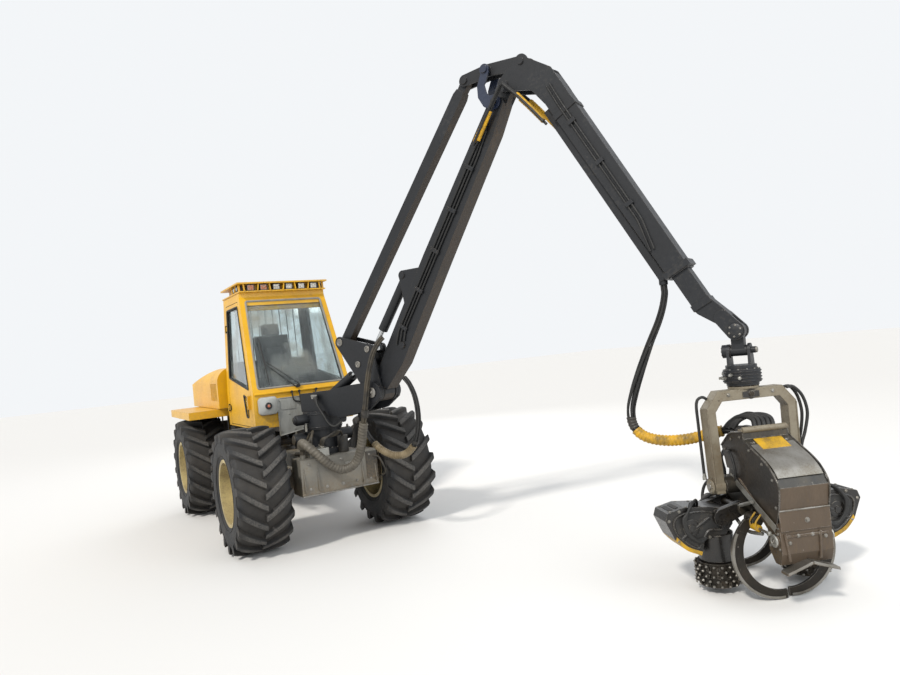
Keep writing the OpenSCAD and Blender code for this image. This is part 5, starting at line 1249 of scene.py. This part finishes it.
def head_hoses():
    """Hoses that curve from the port over the head's spine to the valve block and the arms."""
    block = Shape(HEAD)
    block.box((-330, -120), (-88, 88), (661, 742), 0)
    for x in (-310, -265, -220, -175):
        for y in (-60, 0, 60):
            block.fitting((x, y, 740), (x, y, 741), 15, 11, 12, 26)
    block.box((-452, -442), (-112, 112), (440, 690), 2)
    block.done("valve_block", "head", "head_steel", zinc, bare_steel, cover_steel, bevel=2)
    arc = Shape(HEAD)
    for k in range(5):
        arc.hose([(-100 + 14 * k, -128 + 10 * k, 1148 + 8 * (k % 2)), (-70 + 12 * k, -96 + 14 * k,
            1196 + 4 * k), (-24 + 8 * k, -40 + 26 * k, 1236 + 8 * (k % 3)), (60, 6 + 34 * k, 1222), (116,
            20 + 36 * k - 30, 1150), (128, 6 + 36 * k - 30, 1060)], 17, 12)
    arc.lathe((-60, 60, 1080), (60, -90, 1110), [(0, 60), (10, 72), (90, 78), (170, 66), (182, 50)], 28, 1)
    arc.drum((226, -COVER_HALF + 6, 1172), (226, COVER_HALF - 6, 1172), 22, 5, 20, 2)
    arc.done("cover_hoses", "head", "hose_rubber", hose_black, cover_side, arch_steel, smooth=60)
    shape = Shape(HEAD)
    for (k, (y0, y1, top, x1)) in enumerate(((-58, -60, 1090, -310), (-30, 0, 1130, -265), (0, 60, 1150, -220),
        (30, 60, 1110, -175), (52, -60, 1060, -175))):
        shape.hose([(-40 + 6 * k, y0, 940), (-60 - 10 * k, y0 * 1.2, 1010), (-150 - 14 * k, y0, top - 60),
            (-260 - 10 * k, y1, top - 120), (x1 - 26, y1, 890), (x1, y1, 800), (x1, y1, 758)], 12, 10)
    for s in (1, -1):
        shape.hose([(-330, s * 60, 700), (-430, s * 90, 720), (-500, s * 150, 640), (-470, s * 190, 520), (-380,
            s * 165, 470), (-300, s * 120, 520)], 12, 10)
        shape.hose([(-120, s * 70, 700), (-40, s * 150, 960), (60, s * 190, 1000), (120, s * 196, 900), (100,
            s * 186, 800)], 10, 10)
    shape.done("head_hoses", "head", "hose_rubber", hose_black, smooth=60)
    arch = Shape(HEAD)
    arch.hose([(0, -292, 1392), (0, -330, 1412), (-6, -372, 1372), (-12, -372, 1200), (-18, -366, 1000), (-14,
        -366, 880), (-8, -368, 812)], 11, 10)
    arch.fitting((-8, -368, 850), (-8, -368, 800), 13, 16, 20, 46)
    for k in range(2):
        x = TILT_X - 20 + k * 40
        arch.hose([(x, 300, 1426), (x, 352, 1424), (x, 402 + 14 * k, 1350), (x, 424 + 18 * k, 1230), (x,
            404 + 8 * k, 1100), (x, 376, 1010), (x, 364, 960)], 12, 10)
        arch.fitting((x, 366, 1000), (x, 362, 930), 13, 18, 24, 64, 0)
    arch.lathe((TILT_X + 50, 6, ARCH_TOP - 40), (TILT_X + 66, 6, ARCH_TOP - 40), [(0, 40), (4, 38), (4, 22),
        (14, 20), (16, 12)], 24, 2)
    arch.box((TILT_X + 50, TILT_X + 56), (-62, 66), (ARCH_TOP - 66, ARCH_TOP - 20), 3)
    arch.done("arch_hoses", "head_hanger", "hose_rubber", hose_black, zinc, knife_steel, cover_side, smooth=60)


def arm_details(side):
    name = hand(side)
    shape = Shape(HEAD @ Matrix.Diagonal((1, side, 1, 1)))
    y, z = 340, 416
    shape.lathe((0, y, z), (0, y, z + 30), [(0, 118), (6, 118), (10, 112), (12, 60), (28, 56), (30, 48)], 40, 0)
    shape.bolt_ring((0, y, z + 9), (0, 0, 1), 98, 8, 8, 7, 22)
    for k, a in enumerate((150, 200)):
        u = vec(cos(radians(a)), sin(radians(a)), 0)
        p = vec(0, y, z - 60) + u * 124
        shape.fitting(p, p + u, 16, 12, 16, 34)
        shape.hose([p + u * 30, p + u * 90 + vec(0, 0, 20), (-190 - 20 * k, 330 + 30 * k, 470), (-200,
            300 + 30 * k, 590), (-150, 250, 660), (-110, 214, 640)], 12, 10, 2)
    # Bolts in the arm's outer plate, dark slivers of painted shade for its openings, the rim of its bowl with a
    # dark plate of painted shade for its hollow, and the painted lower edge
    for x in (-92, 92):
        for yy, zz in ((480, 642), (580, 650), (700, 630)):
            shape.bolt((x, yy, zz - 4), (0, 0, 1), 9, 8, 1)
    # Dark slivers for the openings: painted shade inside them.
    for y0 in (628, 672):
        z0, z1 = 652 - (y0 - 600) * 30 / 128, 652 - (y0 - 570) * 30 / 128
        shape.prism([(y0, z0 - 4), (y0 + 30, z1 - 4), (y0 + 30, z1 + 3), (y0, z0 + 3)], "x", -60, 70, 4)
    bowl = [(300, 548), (380, 590), (500, 612), (620, 604), (686, 560), (672, 470), (600, 396), (520, 352),
        (492, 400), (430, 470), (340, 470)]
    for s in (1, -1):
        ring = smooth_path([(s * 114, a, b) for a, b in bowl + bowl[:1]], 14)
        shape.tube(ring, 9, 8, 0)
        # Flat dark plate inside the rim: painted shade of the bowl's hollow, which is not cut in.
        face = [(a * 0.97 + 15, b * 0.97 + 15) for a, b in bowl]
        shape.prism(face, "x", *sorted((s * 111, s * 114)), 4)
        shape.lathe((s * 112, 560, 500), (s * 130, 560, 500), [(0, 62), (6, 62), (8, 56), (8, 30), (16, 26),
            (18, 10)], 32, 0)
        shape.rod((s * 112, 420, 560), (s * 112, 640, 430), 12, 10, 0)
        for a, b in ((330, 600), (640, 626), (722, 566), (664, 416), (430, 420)):
            shape.bolt((s * 111, a, b), (s, 0, 0), 9, 8, 1)
    edge = smooth_path([(0, 684, 424), (0, 640, 374), (0, 600, 340), (0, 545, 314), (0, 504, 297)], 14)
    shape.loft([[(-114, p.y + 2, p.z), (116, p.y + 2, p.z), (116, p.y - 8, p.z + 26), (-114, p.y - 8,
        p.z + 26)] for p in edge], 3)
    for k in range(3):
        d = 22 * k
        shape.hose([(40, 470 + d, 644), (90, 500 + d, 690 - d / 2), (134, 560 + d * 0.6, 660 - d), (140,
            610 + d * 0.4, 570), (138, 590 + d * 0.3, 470), (134, 520 + d * 0.5, 400 + d * 0.4), (118,
            460 + d * 0.4, 420)], 10, 10, 2)
    shape.done(f"feed_arm_details_{name}", f"feed_arm_{name}", "head_steel", arm_black, bare_steel, hose_black,
        patch_yellow, seal_rubber_and_shade)


def knife_edges():
    for k, at_x, sign in (("rear", -270, -1), ("front", 240, 1)):
        for side, name in ((1, "l"), (-1, "r")):
            hub = at_x + 36 if sign > 0 else at_x - 102
            x = hub + (8 if side > 0 else 34)
            shape = Shape(HEAD @ Matrix.Diagonal((1, side, 1, 1)))
            rings = []
            for i in range(25):
                a = radians(-95 + i * 5.2)
                p = vec(60 + 326 * cos(a), 330 + 326 * sin(a))
                q = vec(60 + 308 * cos(a), 330 + 308 * sin(a))
                if p.x < 20 or p.y > 560:
                    continue
                rings.append([(x - 2, p.x + 1, p.y), (x + 22, p.x + 1, p.y), (x + 22, q.x, q.y), (x - 2, q.x,
                    q.y)])
            shape.loft(rings)
            shape.lathe((hub - 2, 190, 566), (hub + 68, 190, 566), [(0, 30), (0.5, 36), (69.5, 36), (70, 30)],
                24)
            shape.done(f"knife_edge_{k}_{name}", f"knife_{k}_{name}", "worn_edge_steel", bare_steel)


def roller_studs(side):
    """Bright tips on the studs of a feed roller, in rows that lean."""
    shape = Shape(HEAD @ Matrix.Diagonal((1, side, 1, 1)))
    for row in range(5):
        for k in range(18):
            a = radians(20 * k + 9 * row)
            u = vec(cos(a), sin(a), 0)
            p = vec(0, 340, 66 + 34 * row) + u * 158
            shape.lathe(p, p + u, [(0, 11), (6, 9), (12, 3)], 8)
    name = hand(side)
    shape.done(f"roller_studs_{name}", f"feed_roller_{name}", "worn_edge_steel", bare_steel)


roller_studs(1)
roller_studs(-1)
cover_details()
saw_chain()
hanger_details()
rotator_details()
head_hoses()
arm_details(1)
arm_details(-1)
knife_edges()


# ---- Front frame ----
def front_details():
    shape = Shape()
    x = 560
    # Gussets, worn lower lip, bolts, a small plate, and a dark plate of painted shade over the bumper's left
    # end
    for y in (-400, -250, 250, 400):
        shape.prism([(x - 2, 600), (x + 26, 620), (x + 26, 640), (x - 2, 900)], "y", y - 5, y + 5, 0)
    shape.lathe((x + 2, -430, 574), (x + 2, 430, 574), [(0, 9), (860, 9)], 10, 1)
    for y in (-340, -160, 20, 180, 340):
        for z in (640, 900):
            shape.bolt((x, y, z), (1, 0, 0), 13, 11, 1)
    shape.box((x - 1, x + 5), (60, 190), (800, 860), 2)
    for y in (72, 178):
        shape.bolt((x + 4, y, 830), (1, 0, 0), 5, 4, 1)
    # Dark plate over the bumper's left end: painted shade for the facet at that end.
    shape.box((x - 2, x + 10), (300, 428), (640, 930), 3)
    shape.done("bumper_details", "front_unit", "chassis_paint", front_grey, bare_steel, zinc, chassis_and_shade,
        bevel=1.5)
    # Valve block with its fittings behind the bumper, hard tubes to the drum
    valve = Shape()
    valve.box((330, 520), (-300, -90), (951, 1040), 0)
    for i in range(4):
        for j in range(2):
            p = vec(362 + 42 * i, -250 + 110 * j, 1038)
            valve.fitting(p, p + vec(0, 0, 1), 15, 11, 14, 30)
    valve.drum((400, 120, 952), (400, 120, 1130), 58, 6, 32, 2)
    valve.drum((300, -250, 970), (120, -330, 970), 26, 4, 20, 2)
    for k in range(3):
        valve.hose([(362 + 42 * k, -250, 1060), (372 + 42 * k, -250, 1120 + 12 * k), (340 + 20 * k, -200,
            1190 + 14 * k), (230 + 10 * k, -190, 1180), (150 + 10 * k, -216, 1090)], 11, 10, 3)
    for k in range(3):
        valve.hose([(404 + 42 * k, -140, 1060), (430 + 42 * k, -120, 1130), (470 + 20 * k, 0, 1150 + 20 * k),
            (430, 90, 1180), (400, 120, 1125)], 11, 10, 3)
    valve.hose([(562, 380, 880), (610, 430, 860), (640, 470, 760), (600, 500, 680), (520, 470, 640), (480, 425,
        660)], 11, 10, 3)
    valve.done("front_valve_block", "front_unit", "chassis_paint", zinc, bare_steel, chassis_and_shade, hose_dusty,
        bevel=1.5)
    # Slew drum: bolt circles and the slewing cylinders' housing
    drum = Shape(shift(SLEW_X))
    for k in range(20):
        a = radians(18 * k)
        drum.bolt((232 * cos(a), 232 * sin(a), 1010), (0, 0, 1), 11, 10, 1)
        drum.bolt((204 * cos(a), 204 * sin(a), 1409), (0, 0, 1), 6, 6, 1)
    for z in (1236, 1380):
        drum.lathe((0, 0, z), (0, 0, z + 14), [(0, 210), (2, 216), (12, 216), (14, 210)], 56, 0)
    for s in (1, -1):
        drum.drum((-40, s * 330, 1120), (-40, s * 90, 1120), 70, 6, 36, 0)
        drum.drum((-40, s * 342, 1120), (-40, s * 326, 1120), 52, 4, 32, 2)
        drum.fitting((-40, s * 300, 1188), (-40, s * 300, 1190), 15, 11, 16, 30)
    drum.done("slew_details", "front_unit", "crane_paint", crane_black, bare_steel, chassis_and_shade, bevel=1)


front_details()


# ---- Studio ----
FLOOR_HALF, FLOOR_AT = 60, -0.002


def studio():
    ground = bpy.data.meshes.new("floor")
    corners = [(x * FLOOR_HALF, y * FLOOR_HALF, FLOOR_AT) for x, y in ((-1, -1), (1, -1), (1, 1), (-1, 1))]
    ground.from_pydata(corners, [], [(0, 1, 2, 3)])
    floor = bpy.data.objects.new("floor", ground)
    show(floor)
    pale = bpy.data.materials.new("floor")
    pale.use_nodes = True
    shader = next(n for n in pale.node_tree.nodes if n.type == "BSDF_PRINCIPLED")
    shader.inputs["Base Color"].default_value = (0.72, 0.71, 0.69, 1)
    shader.inputs["Roughness"].default_value = 0.9
    ground.materials.append(pale)
    world = bpy.data.worlds.new("studio")
    bpy.context.scene.world = world
    world.use_nodes = True
    tree = world.node_tree
    out = next(n for n in tree.nodes if n.type == "OUTPUT_WORLD")
    light = next(n for n in tree.nodes if n.type == "BACKGROUND")
    light.inputs["Color"].default_value = (0.93, 0.96, 1.0, 1)
    light.inputs["Strength"].default_value = 0.75
    seen = tree.nodes.new("ShaderNodeBackground")
    seen.inputs["Color"].default_value = (0.9, 0.92, 0.94, 1)
    seen.inputs["Strength"].default_value = 1.0
    rays = tree.nodes.new("ShaderNodeLightPath")
    share = rays.outputs["Is Camera Ray"]
    for kind in ("Is Transmission Ray", "Is Glossy Ray"):
        add = tree.nodes.new("ShaderNodeMath")
        add.operation = "MAXIMUM"
        tree.links.new(share, add.inputs[0])
        tree.links.new(rays.outputs[kind], add.inputs[1])
        share = add.outputs[0]
    mix = tree.nodes.new("ShaderNodeMixShader")
    tree.links.new(share, mix.inputs[0])
    tree.links.new(light.outputs[0], mix.inputs[1])
    tree.links.new(seen.outputs[0], mix.inputs[2])
    tree.links.new(mix.outputs[0], out.inputs["Surface"])
    for name, kind, energy, size, place, aim, colour in (("key", "SUN", 2.6, 0.12, (4.5, -7, 9), (0.5, 0.5, 1),
        (1, 0.96, 0.9)), ("fill", "AREA", 260, 6, (9, 3, 5), (1, 0.5, 1.5), (0.9, 0.95, 1)), ("back", "AREA",
        240, 6, (-8, 5, 6), (-1, 0, 1.5), (0.95, 0.97, 1))):
        data = bpy.data.lights.new(name, kind)
        data.energy = energy
        data.color = colour
        if kind == "SUN":
            data.angle = size
        else:
            data.size = size
        lamp = bpy.data.objects.new(name, data)
        lamp.location = place
        lamp.rotation_euler = (Vector(aim) - Vector(place)).to_track_quat("-Z", "Y").to_euler()
        show(lamp)


studio()
bpy.context.scene.view_settings.view_transform = "Standard"
